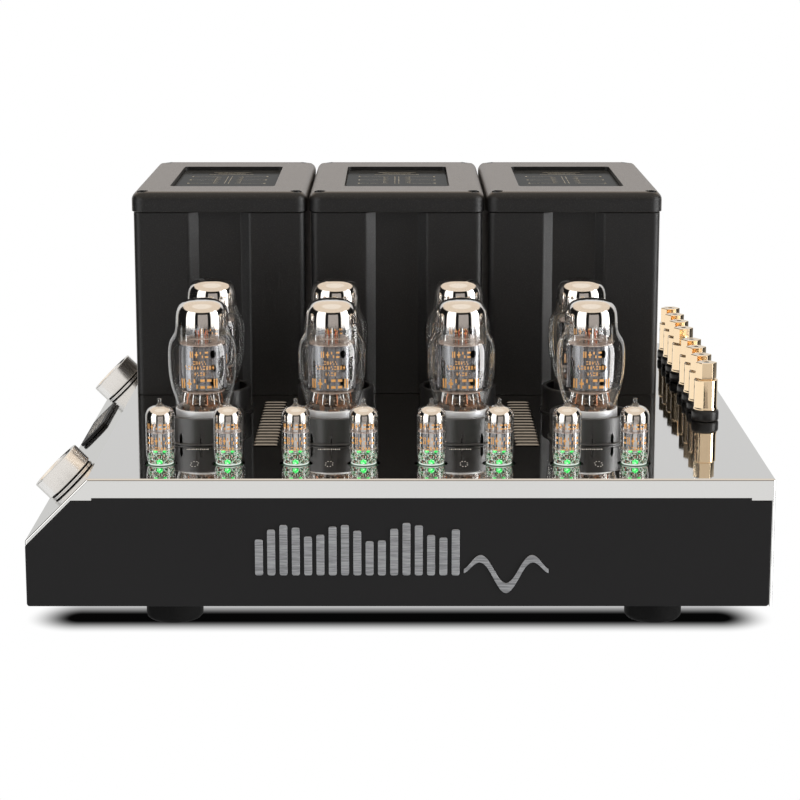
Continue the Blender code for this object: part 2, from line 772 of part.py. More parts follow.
def centre_assembly():
    """Carry everything on one empty, so that the origin is mid-way in the overall box."""
    assembly = bpy.data.objects.new("assembly", None)
    for item in bpy.data.objects:
        if item is not assembly and item.parent is None:
            item.parent = assembly
    bpy.context.collection.objects.link(assembly)
    assembly.location = (KNOB_REACH / 2, -JACK_REACH / 2, 0)


def build():
    clear_scene()
    polished = make_material("polished_steel", (0.80, 0.80, 0.78), 0.08, 1.0)
    powder = make_material("black_powder_coat", (0.02, 0.02, 0.022), 0.45)
    satin = make_material("satin_black_paint", (0.015, 0.015, 0.017), 0.35)
    plastic = make_material("black_plastic", (0.02, 0.02, 0.02), 0.4)
    rubber = make_material("black_rubber", (0.01, 0.01, 0.01), 0.7)
    glass = make_material("tube_glass", (0.75, 0.72, 0.68), 0.05)
    dark_glass = make_material("dark_glass", (0.06, 0.06, 0.065), 0.1)
    iron = make_material("lacquered_iron", (0.12, 0.12, 0.13), 0.4, 0.6)
    resin = make_material("circuit_board", (0.02, 0.10, 0.04), 0.5)
    gold = make_material("gold_plating", (0.90, 0.68, 0.38), 0.15, 1.0)
    zinc = make_material("zinc_plating", (0.45, 0.45, 0.46), 0.35, 1.0)

    build_chassis_shell(polished)
    build_front_panel(satin)
    build_base_pan(powder)
    build_feet(rubber)

    place_in_row(build_cover(powder), ("transformer_cover_centre", "transformer_cover_right"))
    place_in_row(build_lid(powder), ("cover_lid_centre", "cover_lid_right"))
    place_in_row(build_lid_window(dark_glass), ("lid_window_centre", "lid_window_right"))
    place_in_row(build_transformer(iron), ("mains_transformer", "output_transformer_right"))

    place_copies(build_socket_collar(plastic), "socket_collar", power_places())
    place_copies(build_power_tube(glass), "power_tube", power_places())
    place_copies(build_driver_tube(glass), "driver_tube", driver_places())
    build_driver_board(resin)

    build_terminal_block(plastic)
    nut = build_terminal_nut(gold)
    place_nuts(nut)

    build_controls(polished, zinc)
    build_side_badge(satin)
    build_input_panel(satin)
    build_mains_inlet(plastic)
    centre_assembly()


build()
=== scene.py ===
"""Looks of the stereo tube amplifier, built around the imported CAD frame.

Sizes are in millimetres in the row frame: +X to the right seen from the front, +Y from the
front panel to the back, +Z up. Places come from the boxes of the CAD nodes. Meshes and places
turn to metres in mesh_of, move and place. Shader sizes are in metres.
"""

from math import cos, pi, radians, sin, sqrt, tan

import bmesh
import bpy
from mathutils import Matrix, Vector


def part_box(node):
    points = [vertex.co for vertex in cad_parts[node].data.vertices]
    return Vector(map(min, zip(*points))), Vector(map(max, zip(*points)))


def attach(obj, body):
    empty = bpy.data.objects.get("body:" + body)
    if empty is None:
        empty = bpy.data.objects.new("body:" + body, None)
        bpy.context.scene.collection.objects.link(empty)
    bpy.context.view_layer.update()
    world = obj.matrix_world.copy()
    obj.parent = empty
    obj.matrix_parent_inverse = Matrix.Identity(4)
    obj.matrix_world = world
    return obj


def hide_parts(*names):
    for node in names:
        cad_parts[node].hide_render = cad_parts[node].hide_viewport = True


MM = 0.001                                 # one millimetre in metres
TAU = 2 * pi

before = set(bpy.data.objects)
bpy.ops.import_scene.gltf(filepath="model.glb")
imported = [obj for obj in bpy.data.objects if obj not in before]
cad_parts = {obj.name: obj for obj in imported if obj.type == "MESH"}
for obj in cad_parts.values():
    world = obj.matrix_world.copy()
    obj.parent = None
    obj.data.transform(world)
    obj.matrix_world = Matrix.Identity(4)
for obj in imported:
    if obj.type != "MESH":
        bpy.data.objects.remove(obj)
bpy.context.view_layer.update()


def extent(node):
    """Low and high corner of a CAD node."""
    low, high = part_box(node)
    return low / MM, high / MM


SHELL_LOW, SHELL_HIGH = extent("chassis_shell")
LEFT, RIGHT = SHELL_LOW.x, SHELL_HIGH.x
FRONT, BACK = SHELL_LOW.y, SHELL_HIGH.y
PLATE = SHELL_HIGH.z                       # upper face of the top plate
PAN = SHELL_LOW.z                          # underside of the body
MIDDLE = (LEFT + RIGHT) / 2
SLANT = 43.5                               # rise and run of the control panel
SHEET = 2                                  # thickness of the chassis sheet
GAP = 0.3                                  # free play between parts
LIP = PLATE - extent("front_panel")[1].z - GAP
TAB_DROP = 1.7                             # of the lip beside its ends
TAB_LENGTH = 14
SLANT_LIP = 2.5
DIAGONAL = sqrt(2)
SIDES = ("left", "centre", "right")


# ---------------------------------------------------------------- mesh tools

def centre(node):
    low, high = extent(node)
    return (low + high) / 2


def foot_of(node):
    """Point below the middle of a CAD node, at the level of the top plate."""
    middle = centre(node)
    return Vector((middle.x, middle.y, PLATE))


def loft(loops, closed=False, slot=0):
    bm = bmesh.new()
    rings = [[bm.verts.new(point) for point in loop] for loop in loops]
    count = len(rings[0])
    pairs = list(zip(rings, rings[1:]))
    if closed:
        pairs.append((rings[-1], rings[0]))
    for low, high in pairs:
        for i in range(count):
            j = (i + 1) % count
            bm.faces.new((low[i], low[j], high[j], high[i]))
    if not closed:
        bm.faces.new(list(reversed(rings[0])))
        bm.faces.new(rings[-1])
    return painted(bm, slot)


def painted(bm, slot):
    for face in bm.faces:
        face.material_index = slot
    return bm


def lathe(profile, segments=48, closed=False, slot=0):
    """Turn (radius, height) points about Z. A radius of zero makes a pole."""
    bm = bmesh.new()
    rings = []
    for radius, height in profile:
        if radius == 0:
            rings.append([bm.verts.new((0, 0, height))])
            continue
        angles = [TAU * i / segments for i in range(segments)]
        rings.append([bm.verts.new((radius * cos(a), radius * sin(a), height)) for a in angles])
    pairs = list(zip(rings, rings[1:]))
    if closed:
        pairs.append((rings[-1], rings[0]))
    for low, high in pairs:
        if len(low) == len(high) == 1:
            continue
        for i in range(segments):
            j = (i + 1) % segments
            corners = [low[i % len(low)], low[j % len(low)], high[j % len(high)],
                high[i % len(high)]]
            bm.faces.new(list(dict.fromkeys(corners)))
    return painted(bm, slot)


def prism(outline, low, high, axis="Z", slot=0):
    """Solid between two planes, from an outline in XY (axis Z), XZ (Y) or YZ (X)."""
    def place(point, depth):
        if axis == "Y":
            return (point[0], depth, point[1])
        if axis == "X":
            return (depth, point[0], point[1])
        return (point[0], point[1], depth)
    return loft([[place(point, depth) for point in outline] for depth in (low, high)], slot=slot)


def box(low, high, slot=0):
    corners = [(low[0], low[1]), (high[0], low[1]), (high[0], high[1]), (low[0], high[1])]
    return prism(corners, low[2], high[2], slot=slot)


def arc(middle, radius, start, end, steps):
    angles = [radians(start + (end - start) * i / steps) for i in range(steps + 1)]
    return [(middle[0] + radius * cos(a), middle[1] + radius * sin(a)) for a in angles]


def rounded_rectangle(size, radius, middle=(0.0, 0.0), steps=8):
    x, y = size[0] / 2 - radius, size[1] / 2 - radius
    points = []
    for corner, (sx, sy) in enumerate(((1, -1), (1, 1), (-1, 1), (-1, -1))):
        about = (middle[0] + sx * x, middle[1] + sy * y)
        points += arc(about, radius, -90 + 90 * corner, 90 * corner, steps)
    return points


def rounded_corners(outline, radii, steps=5):
    """Replace each corner of an outline by an arc of its own radius."""
    points = []
    count = len(outline)
    for i, radius in enumerate(radii):
        here = Vector(outline[i])
        back = (Vector(outline[i - 1]) - here).normalized()
        ahead = (Vector(outline[(i + 1) % count]) - here).normalized()
        if radius == 0:
            points.append(tuple(here))
            continue
        half = back.angle(ahead) / 2
        reach = radius / tan(half)
        about = here + (back + ahead).normalized() * (radius / sin(half))
        start, end = here + back * reach - about, here + ahead * reach - about
        sweep = start.angle_signed(end)
        for step in range(steps + 1):
            turn = Matrix.Rotation(-sweep * step / steps, 2)
            points.append(tuple(about + turn @ start))
    return points


def spline(points, steps=5):
    """Smooth curve through (radius, height) points."""
    padded = [points[0]] + list(points) + [points[-1]]
    curve = []
    for a, b, c, d in zip(padded, padded[1:], padded[2:], padded[3:]):
        for step in range(steps):
            t = step / steps
            curve.append(tuple(0.5 * (2 * q + (r - p) * t + (2 * p - 5 * q + 4 * r - s) * t * t +
                (3 * q - p - 3 * r + s) * t ** 3) for p, q, r, s in zip(a, b, c, d)))
    return curve + [points[-1]]


def wire(path, radius, sides=8, slot=0):
    """Round wire along a path of points."""
    path = [Vector(point) for point in path]
    loops = []
    side = None
    for i, point in enumerate(path):
        along = (path[min(i + 1, len(path) - 1)] - path[max(i - 1, 0)]).normalized()
        if side is None:
            side = along.orthogonal().normalized()
        side = (side - along * side.dot(along)).normalized()
        other = along.cross(side)
        loops.append([point + radius * (cos(TAU * k / sides) * side + sin(TAU * k / sides) * other)
            for k in range(sides)])
    return loft(loops, slot=slot)


def merge(bm, *others):
    for other in others:
        mesh = bpy.data.meshes.new("merge")
        other.to_mesh(mesh)
        other.free()
        bm.from_mesh(mesh)
        bpy.data.meshes.remove(mesh)
    return bm


def placed(bm, matrix):
    bmesh.ops.transform(bm, matrix=matrix, verts=bm.verts)
    return bm


def at(x, y, z):
    return Matrix.Translation((x, y, z))


def mesh_of(name, bm, angle=35):
    placed(bm, Matrix.Scale(MM, 4))
    bmesh.ops.recalc_face_normals(bm, faces=bm.faces)
    mesh = bpy.data.meshes.new(name)
    bm.to_mesh(mesh)
    bm.free()
    mesh.shade_smooth()
    mesh.set_sharp_from_angle(angle=radians(angle))
    return mesh


def make(name, source, materials, angle=35):
    """Object from a bmesh or a finished mesh."""
    mesh = source if isinstance(source, bpy.types.Mesh) else mesh_of(name, source, angle)
    if not mesh.materials:
        for look in materials:
            mesh.materials.append(look)
    item = bpy.data.objects.new(name, mesh)
    bpy.context.scene.collection.objects.link(item)
    return item


def take_mesh(item):
    """Finished mesh of an item, as a bmesh. The item itself goes."""
    bpy.context.view_layer.update()
    mesh = bpy.data.meshes.new_from_object(item.evaluated_get(bpy.context.evaluated_depsgraph_get(
        )))
    bm = bmesh.new()
    bm.from_mesh(mesh)
    bpy.data.meshes.remove(mesh)
    bpy.data.objects.remove(item, do_unlink=True)
    return placed(bm, Matrix.Scale(1 / MM, 4))


def move(item, spot):
    item.location = Vector(spot) * MM


def place(item, matrix):
    item.matrix_world = Matrix.Scale(MM, 4) @ matrix @ Matrix.Scale(1 / MM, 4)


def cut(item, *tools, operation="DIFFERENCE", angle=35):
    """Boolean the item with each tool and keep the result as its mesh."""
    for tool in tools:
        helper = make(item.name + "_tool", tool, ())
        modifier = item.modifiers.new("cut", "BOOLEAN")
        modifier.operation = operation
        modifier.solver = "EXACT"
        modifier.object = helper
        bpy.context.view_layer.update()
        evaluated = item.evaluated_get(bpy.context.evaluated_depsgraph_get())
        mesh = bpy.data.meshes.new_from_object(evaluated)
        item.modifiers.clear()
        item.data = mesh
        bpy.data.objects.remove(helper, do_unlink=True)
    item.data.shade_smooth()
    item.data.set_sharp_from_angle(angle=radians(angle))
    return item


def flat_shaded_faces(item):
    """Large faces keep their own normal, so that polished ones stay true mirrors."""
    modifier = item.modifiers.new("face normals", "WEIGHTED_NORMAL")
    modifier.keep_sharp = True
    modifier.weight = 100
    return item


def soften(item, width, segments=2, angle=40):
    modifier = item.modifiers.new("soft edges", "BEVEL")
    modifier.width = width * MM
    modifier.segments = segments
    modifier.limit_method = "ANGLE"
    modifier.angle_limit = radians(angle)
    modifier.harden_normals = True
    return item


def show(item, replaces=(), body="root"):
    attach(item, body)
    if replaces:
        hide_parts(*replaces)
    return item


# ---------------------------------------------------------------- node tools

class Recipe:
    """Short-hand for the nodes of one material or of the world."""

    def __init__(self, tree):
        self.tree = tree
        tree.nodes.clear()

    def add(self, kind, inputs=None, output=0, **settings):
        node = self.tree.nodes.new("ShaderNode" + kind)
        for name, value in settings.items():
            setattr(node, name, value)
        for name, value in (inputs or {}).items():
            self.feed(node.inputs[name], value)
        return node.outputs[output]

    def feed(self, socket, value):
        if isinstance(value, bpy.types.NodeSocket):
            self.tree.links.new(value, socket)
        elif socket.type == "RGBA" and not isinstance(value, (int, float)):
            socket.default_value = (*value, 1.0)[:4]
        else:
            socket.default_value = value

    def maths(self, operation, *values, clamp=False):
        return self.add("Math", dict(enumerate(values)), operation=operation, use_clamp=clamp)

    def minus(self, first, second):
        return self.maths("SUBTRACT", first, second)

    def times(self, *factors):
        result = factors[0]
        for factor in factors[1:]:
            result = self.maths("MULTIPLY", result, factor)
        return result

    def split(self, vector):
        """The three parts of a vector."""
        node = self.tree.nodes.new("ShaderNodeSeparateXYZ")
        self.feed(node.inputs[0], vector)
        return node.outputs

    def smooth(self, value, low, high, first=0.0, last=1.0):
        """Smooth step of a value from low to high."""
        return self.add("MapRange", {"Value": value, "From Min": low, "From Max": high, "To Min":
            first, "To Max": last}, interpolation_type="SMOOTHSTEP")

    def band(self, value, low, high, soft):
        return self.times(self.smooth(value, low - soft, low + soft), self.smooth(value, high -
            soft, high + soft, 1.0, 0.0))

    def mix(self, factor, first, last):
        """Mix of two colours."""
        node = self.tree.nodes.new("ShaderNodeMix")
        node.data_type = "RGBA"
        colours = [socket for socket in node.inputs if socket.type == "RGBA"]
        self.feed(node.inputs[0], factor)
        self.feed(colours[0], first)
        self.feed(colours[1], last)
        return [socket for socket in node.outputs if socket.type == "RGBA"][0]

    def position(self, scale=(1, 1, 1)):
        spot = self.add("TexCoord", output="Object")
        return self.add("Mapping", {"Vector": spot, "Scale": scale})

    def noise(self, scale, detail=2.0, stretch=(1, 1, 1)):
        return self.add("TexNoise", {"Vector": self.position(stretch), "Scale": scale, "Detail":
            detail}, output="Fac")

    def bump(self, height, strength, distance):
        return self.add("Bump", {"Height": height, "Strength": strength, "Distance": distance})

    def surface(self, colour, roughness, metallic=0.0, **more):
        inputs = {"Base Color": colour, "Roughness": roughness, "Metallic": metallic}
        inputs.update({name.replace("_", " "): value for name, value in more.items()})
        return self.add("BsdfPrincipled", inputs)

    def blend(self, factor, first, last):
        """Mix of two shaders."""
        return self.add("MixShader", {0: factor, 1: first, 2: last})

    def finish(self, shader, kind="OutputMaterial"):
        node = self.tree.nodes.new("ShaderNode" + kind)
        self.feed(node.inputs["Surface"], shader)


def new_material(name, build):
    item = bpy.data.materials.new(name)
    item.use_nodes = True
    recipe = Recipe(item.node_tree)
    recipe.finish(build(recipe))
    return item


def material(build):
    """Material that is named after the function that lays out its nodes."""
    return new_material(build.__name__, build)


# ---------------------------------------------------------------- materials

def two_tone(name, scale, detail, first, last, roughness, metallic=0.0):
    """Plain surface that wanders between two colours."""
    def build(r):
        return r.surface(r.mix(r.noise(scale, detail), first, last), roughness, metallic)
    return new_material(name, build)


copper_wire = two_tone("copper_wire", 240, 3, (0.72, 0.33, 0.18), (0.42, 0.18, 0.10), 0.25, 1.0)
white_print = two_tone("white_print", 900, 2, (0.62, 0.62, 0.60), (0.8, 0.8, 0.78), 0.5)
zinc_plate = two_tone("zinc_plate", 400, 3, (0.30, 0.30, 0.31), (0.46, 0.46, 0.47), 0.38, 1.0)
blued_screw = two_tone("blued_screw", 500, 2, (0.01, 0.01, 0.012), (0.03, 0.03, 0.032), 0.3, 0.8)
# Louvre ridges are darker than the polished plate they are pressed from: painted shade.
louvre_steel_with_painted_shade = two_tone("louvre_steel_with_painted_shade", 200, 3, (0.20, 0.185, 0.165), (0.27, 0.25, 0.225), 0.16, 1.0)


@material
def polished_steel(r):
    haze = r.noise(9, 3)
    return r.surface((0.68, 0.675, 0.66), r.smooth(haze, 0.35, 0.7, 0.02, 0.05), 1.0)


@material
def satin_black_paint(r):
    grain = r.noise(2400, 2)
    cloud = r.noise(6, 2)
    colour = r.mix(cloud, (0.0048, 0.0048, 0.0055), (0.0072, 0.0072, 0.0078))
    return r.surface(colour, r.smooth(grain, 0.3, 0.7, 0.42, 0.56), Specular_IOR_Level=0.24,
        Normal=r.bump(grain, 0.35, 0.00008))


@material
def black_powder_coat(r):
    """Fine textured paint that shines warm where it is seen at a low angle."""
    grain = r.noise(1500, 3)
    speck = r.smooth(r.noise(1100, 2), 0.52, 0.66)
    colour = r.mix(speck, (0.0028, 0.0028, 0.0032), (0.012, 0.012, 0.0125))
    relief = r.bump(grain, 0.5, 0.00018)
    paint = r.surface(colour, r.smooth(grain, 0.3, 0.7, 0.40, 0.52), Specular_IOR_Level=0.42,
        Normal=relief)
    sheen = r.add("BsdfGlossy", {"Color": (1, 0.93, 0.88, 1), "Roughness": 0.25, "Normal": relief})
    facing = r.add("LayerWeight", {"Blend": 0.5}, output="Facing")
    return r.blend(r.smooth(facing, 0.3, 0.9, 0.0, 0.26), paint, sheen)


@material
def moulded_black_plastic(r):
    grain = r.noise(1100, 2)
    return r.surface((0.011, 0.011, 0.012), r.smooth(grain, 0.3, 0.7, 0.3, 0.42),
        Specular_IOR_Level=0.4, Normal=r.bump(grain, 0.2, 0.0001))


@material
def guard_black(r):
    """Anodised ring with fine lines around it."""
    lines = r.noise(300, 2, stretch=(1, 1, 12))
    return r.surface((0.011, 0.011, 0.012), r.smooth(lines, 0.3, 0.7, 0.30, 0.38),
        Specular_IOR_Level=1.0, Normal=r.bump(lines, 0.08, 0.00004))


@material
def black_rubber(r):
    grain = r.noise(1300, 4)
    dust = r.smooth(r.noise(60, 3), 0.5, 0.8, 0.0, 0.4)
    return r.surface(r.mix(dust, (0.003, 0.003, 0.003), (0.01, 0.01, 0.0095)), 0.75,
        Specular_IOR_Level=0.15, Normal=r.bump(grain, 0.6, 0.0002))


def thin_glass(r, clear=(0.97, 0.97, 0.965), edge=(0.30, 0.31, 0.32), shine=0.055, rough=0.012):
    """Wall of a blown bulb: clear in the middle, dark and bright at its outline."""
    facing = r.add("LayerWeight", {"Blend": 0.5}, output="Facing")
    tint = r.mix(r.smooth(facing, 0.72, 0.99), clear, edge)
    through = r.add("BsdfTransparent", {"Color": tint})
    gloss = r.add("BsdfGlossy", {"Color": (1, 1, 1), "Roughness": rough})
    rise = r.maths("POWER", facing, 3.2)
    amount = r.maths("MULTIPLY_ADD", rise, 0.95, shine, clamp=True)
    return r.blend(amount, through, gloss)


@material
def bulb_glass(r):
    return thin_glass(r)


def getter(r, low, high):
    """Silvered inside of a bulb that fades out in fine streaks between two heights."""
    streaks = r.noise(900, 4, stretch=(1, 1, 0.12))
    cloud = r.noise(260, 3)
    ragged = r.maths("ADD", r.times(streaks, 0.6), r.times(cloud, 0.4))
    middle = r.split(r.add("TexCoord", output="Object"))["Z"]
    height = r.maths("ADD", middle, r.times(r.minus(ragged, 0.5), (high - low) * 1.4))
    silver = r.surface((0.80, 0.76, 0.72), 0.06, 1.0)
    clear = r.add("BsdfTransparent", {"Color": (1, 1, 1)})
    return r.blend(r.smooth(height, low, high), clear, silver)


@material
def power_getter(r):
    return getter(r, 82.5 * MM, 88 * MM)


@material
def driver_getter(r):
    return getter(r, 28 * MM, 35 * MM)


@material
def plate_grey(r):
    """Polished grey sheet of the tube plates, with drawing lines along it."""
    stain = r.noise(70, 3, stretch=(1, 1, 0.4))
    streaks = r.smooth(r.noise(520, 3, stretch=(1, 1, 0.03)), 0.40, 0.62)
    dull = r.mix(stain, (0.125, 0.13, 0.14), (0.21, 0.215, 0.23))
    colour = r.mix(streaks, dull, (0.38, 0.38, 0.40))
    return r.surface(colour, 0.20, 1.0, Normal=r.bump(streaks, 0.25, 0.0002))


@material
def mica(r):
    """Pinkish brown sheet, bright at its edge."""
    flake = r.noise(220, 3)
    sheet = r.surface(r.mix(flake, (0.50, 0.38, 0.33), (0.86, 0.72, 0.64)), 0.22,
        Specular_IOR_Level=0.8)
    return r.blend(r.smooth(flake, 0.3, 0.7, 0.3, 0.55), sheet, r.add("BsdfTransparent"))


@material
def brushed_aluminium(r):
    lines = r.noise(260, 2, stretch=(1, 1, 14))
    metal = r.surface((0.86, 0.88, 0.91), r.smooth(lines, 0.3, 0.7, 0.42, 0.52), 1.0, Normal=r.bump(
        lines, 0.10, 0.00005))
    return r.blend(0.35, metal, r.add("BsdfDiffuse", {"Color": (0.86, 0.88, 0.91)}))


@material
def bright_wire(r):
    return r.surface((0.80, 0.80, 0.80), r.smooth(r.noise(300, 2), 0.3, 0.7, 0.12, 0.25), 1.0)


@material
def amber_stem(r):
    """Brown pressed glass foot inside a power tube, with dark and light veins."""
    swirl = r.noise(170, 5, stretch=(1, 1, 0.5))
    brown = r.mix(r.smooth(swirl, 0.4, 0.62), (0.010, 0.005, 0.004), (0.17, 0.072, 0.03))
    colour = r.mix(r.smooth(r.noise(420, 3), 0.60, 0.68), brown, (0.62, 0.48, 0.36))
    return r.surface(colour, 0.14, Specular_IOR_Level=0.7, Coat_Weight=0.4, Normal=r.bump(swirl,
        0.7, 0.001))


@material
def clear_stem(r):
    """Thick glass with bumpy facets. Its emission is painted light: glints in green, pale and red, as if
    the facets caught the lamp, the pins and the plate.
    """
    facets = r.noise(900, 1)
    tint = r.noise(800, 1, stretch=(1, 1.1, 0.9))
    green = r.mix(r.smooth(tint, 0.40, 0.46), (0.004, 0.02, 0.008), (0.10, 0.62, 0.20))
    pale = r.mix(r.smooth(tint, 0.47, 0.52), green, (0.80, 0.92, 0.82))
    colour = r.mix(r.smooth(r.noise(760, 1), 0.58, 0.62), pale, (0.62, 0.24, 0.20))
    # Painted glints: the foot emits light in spots over its facets, though it is no lamp.
    painted_glint_light = r.add("Emission", {"Color": colour, "Strength": r.smooth(facets, 0.38, 0.56, 0.12, 1.25)})
    gloss = r.surface((0.02, 0.02, 0.02), 0.08, Specular_IOR_Level=0.8, Normal=r.bump(facets, 1.0,
        0.002))
    return r.blend(0.62, gloss, painted_glint_light)


def glow(r, colour, strength, low=0.35, high=0.65):
    """Glow of a heater, or glow painted on a glass rim that is no lamp, uneven over its surface."""
    uneven = r.smooth(r.noise(420, 2), low, high, 0.25, 1.0)
    return r.add("Emission", {"Color": colour, "Strength": r.times(uneven, strength)})


@material
def heater_glow(r):
    return glow(r, (0.75, 0.16, 0.06), 0.8)


@material
def green_glow(r):
    core = r.smooth(r.noise(700, 1), 0.52, 0.62)
    colour = r.mix(core, (0.02, 0.72, 0.10), (0.45, 1.0, 0.50))
    return r.add("Emission", {"Color": colour, "Strength": r.smooth(r.noise(520, 2), 0.3, 0.5, 0.6, 1.8)})


# Glow painted on the glass rim at the foot of the signal tubes; the rim is no lamp.
@material
def painted_rim_glow(r):
    return glow(r, (0.88, 1.0, 0.90), 0.85, 0.1, 0.4)


@material
def orange_print_with_painted_glow(r):
    wear = r.smooth(r.noise(1500, 3), 0.26, 0.36)
    # The ink also emits its own colour faintly: a painted glow that brightens the print, though it is no
    # lamp.
    ink = r.surface((0.72, 0.38, 0.13), 0.45, Specular_IOR_Level=0.2, Emission_Color=(0.72, 0.38,
        0.13), Emission_Strength=0.14)
    return r.blend(wear, r.add("BsdfTransparent"), ink)


@material
def pale_print(r):
    ink = r.surface((0.36, 0.33, 0.25), 0.5)
    return r.blend(r.smooth(r.noise(700, 2), 0.3, 0.6, 0.2, 0.9), r.add("BsdfTransparent"), ink)


@material
def gold_plate(r):
    haze = r.noise(120, 3)
    return r.surface(r.mix(haze, (0.90, 0.71, 0.48), (0.95, 0.77, 0.54)), r.smooth(haze, 0.3, 0.7,
        0.06, 0.13), 1.0)


@material
def window_glass(r):
    """Smoked pane over a dark card, evenly dim at any angle."""
    haze = r.noise(40, 3)
    card = r.add("BsdfDiffuse", {"Color": r.mix(haze, (0.030, 0.031, 0.031), (0.040, 0.041,
        0.041))})
    gloss = r.add("BsdfGlossy", {"Color": (0.95, 0.98, 1.0), "Roughness": r.smooth(haze, 0.3, 0.7,
        0.08, 0.16)})
    return r.blend(0.1, card, gloss)


@material
def emblem_metal(r):
    """Brushed alloy with lines along X."""
    lines = r.noise(340, 3, stretch=(0.25, 9, 9))
    cloud = r.noise(24, 2)
    colour = r.mix(cloud, (0.33, 0.34, 0.355), (0.42, 0.43, 0.445))
    colour = r.mix(r.smooth(lines, 0.38, 0.60), (0.20, 0.205, 0.215), colour)
    return r.surface(colour, 0.42, 0.7, Normal=r.bump(lines, 0.3, 0.0001))


@material
def lamination(r):
    """Edges of stacked iron sheets under lacquer."""
    layers = r.add("TexWave", {"Vector": r.position(), "Scale": 320.0, "Distortion": 0.4},
        bands_direction="Y")
    return r.surface(r.mix(layers, (0.015, 0.015, 0.018), (0.06, 0.06, 0.065)), 0.4, 0.5,
        Normal=r.bump(layers, 0.4, 0.0003))


@material
def circuit_resin(r):
    weave = r.add("TexChecker", {"Vector": r.position(), "Scale": 900.0}, output="Fac")
    return r.surface(r.mix(r.times(weave, 0.3), (0.008, 0.07, 0.022), (0.02, 0.13, 0.05)), 0.35,
        Coat_Weight=0.3)


@material
def turned_steel(r):
    """Knob metal with fine lines along the axis."""
    lines = r.noise(900, 3, stretch=(1, 1, 0.03))
    haze = r.noise(40, 2)
    return r.surface(r.mix(haze, (0.84, 0.83, 0.81), (0.90, 0.885, 0.86)), r.smooth(lines, 0.3, 0.7,
        0.20, 0.30), 1.0, Normal=r.bump(lines, 0.12, 0.00005))


# Black for the setting groove of the knobs, and painted shade inside the holes of the plates and of the
# gold nuts.
@material
def black_fill_and_painted_hole_shade(r):
    return r.surface(r.mix(r.noise(500, 2), (0.003, 0.003, 0.003), (0.007, 0.007, 0.007)), 0.8,
        Specular_IOR_Level=0.1)


# ---------------------------------------------------------------- chassis

def slant_frame(y, height=0.0):
    """Frame on the slanted panel: Z points out of it, X runs up it."""
    middle = Vector((LEFT + SLANT / 2, y, PLATE - SLANT / 2))
    outward = Vector((-1, 0, 1)).normalized()
    uphill = Vector((1, 0, 1)).normalized()
    across = outward.cross(uphill)
    turn = Matrix((uphill, across, outward)).transposed().to_4x4()
    return Matrix.Translation(middle + outward * height) @ turn


def opening_outline(clearance):
    """Front opening inside the folded lip, in XZ, from its lower left corner."""
    right = RIGHT - SHEET - clearance
    offset = PLATE - SLANT - LEFT - (SLANT_LIP + clearance) * DIAGONAL
    top = PLATE - LIP - clearance
    tab = top - TAB_DROP
    tab_left = tab - offset + TAB_LENGTH
    tab_right = RIGHT - SHEET - TAB_LENGTH
    return [(LEFT, LEFT + offset), (tab - offset, tab), (tab_left + clearance, tab), (tab_left +
        clearance, top), (tab_right - clearance, top), (tab_right - clearance, tab), (right, tab)]


LOUVRE_ROWS = 16
LOUVRE_PITCH = 10
LOUVRE_HALF = 9.3
LOUVRE_COLUMN = 94.5                       # from the middle to each side
EDGE_BEND = 1.4                            # radius of the folded edges


def louvre_places():
    """Middle of each louvre, in two columns beside the middle output tubes."""
    middle = (centre("power_tube_1").x + centre("power_tube_4").x) / 2
    first = centre("power_tube_1").y - 26.5
    for x in (middle - LOUVRE_COLUMN, middle + LOUVRE_COLUMN):
        for row in range(LOUVRE_ROWS):
            yield x, first + row * LOUVRE_PITCH


def chassis_section(inset):
    """Rounded outline of the folded sheet in XZ, moved inward by an inset."""
    shift = inset * (DIAGONAL - 1)
    inner = RIGHT - 3 * SHEET
    section = [(LEFT + inset, PAN + SHEET), (LEFT + inset, PLATE - SLANT - shift), (LEFT + SLANT +
        shift, PLATE - inset), (RIGHT - inset, PLATE - inset), (RIGHT - inset, PAN), (inner, PAN),
        (inner, PAN + SHEET)]
    bend = EDGE_BEND + 0.3 - inset
    return rounded_corners(section, (0, bend, bend, bend, 0, 0, 0))


def build_chassis():
    """Folded sheet: slanted panel, top plate, right wall, and lips in front and behind."""
    ends = []
    for step in range(7):
        angle = radians(15 * step)
        inset = EDGE_BEND * (1 - sin(angle))
        depth = EDGE_BEND * (1 - cos(angle))
        ends.append([(x, depth, z) for x, z in chassis_section(inset)])
    loops = [[(x, FRONT + y, z) for x, y, z in loop] for loop in ends]
    loops += [[(x, BACK - y, z) for x, y, z in loop] for loop in reversed(ends)]
    shell = make("folded_chassis", loft(loops), [polished_steel])
    inset = SHEET * (DIAGONAL - 1)
    below = PAN - 10
    cavity = [(LEFT + SHEET, below), (LEFT + SHEET, PLATE - SLANT - inset), (LEFT + SLANT + inset,
        PLATE - SHEET), (RIGHT - SHEET, PLATE - SHEET), (RIGHT - SHEET, below)]
    opening = opening_outline(0)
    fold = opening[0][1]
    opening = [(LEFT - 5, below), (LEFT - 5, fold - 5)] + opening[1:]
    opening.append((RIGHT - SHEET, below))
    cut(shell, prism(cavity, FRONT + SHEET, BACK - SHEET, "Y"), prism(opening, FRONT - SHEET, BACK +
        SHEET, "Y"), plate_holes())
    show(flat_shaded_faces(shell), ["chassis_shell"])


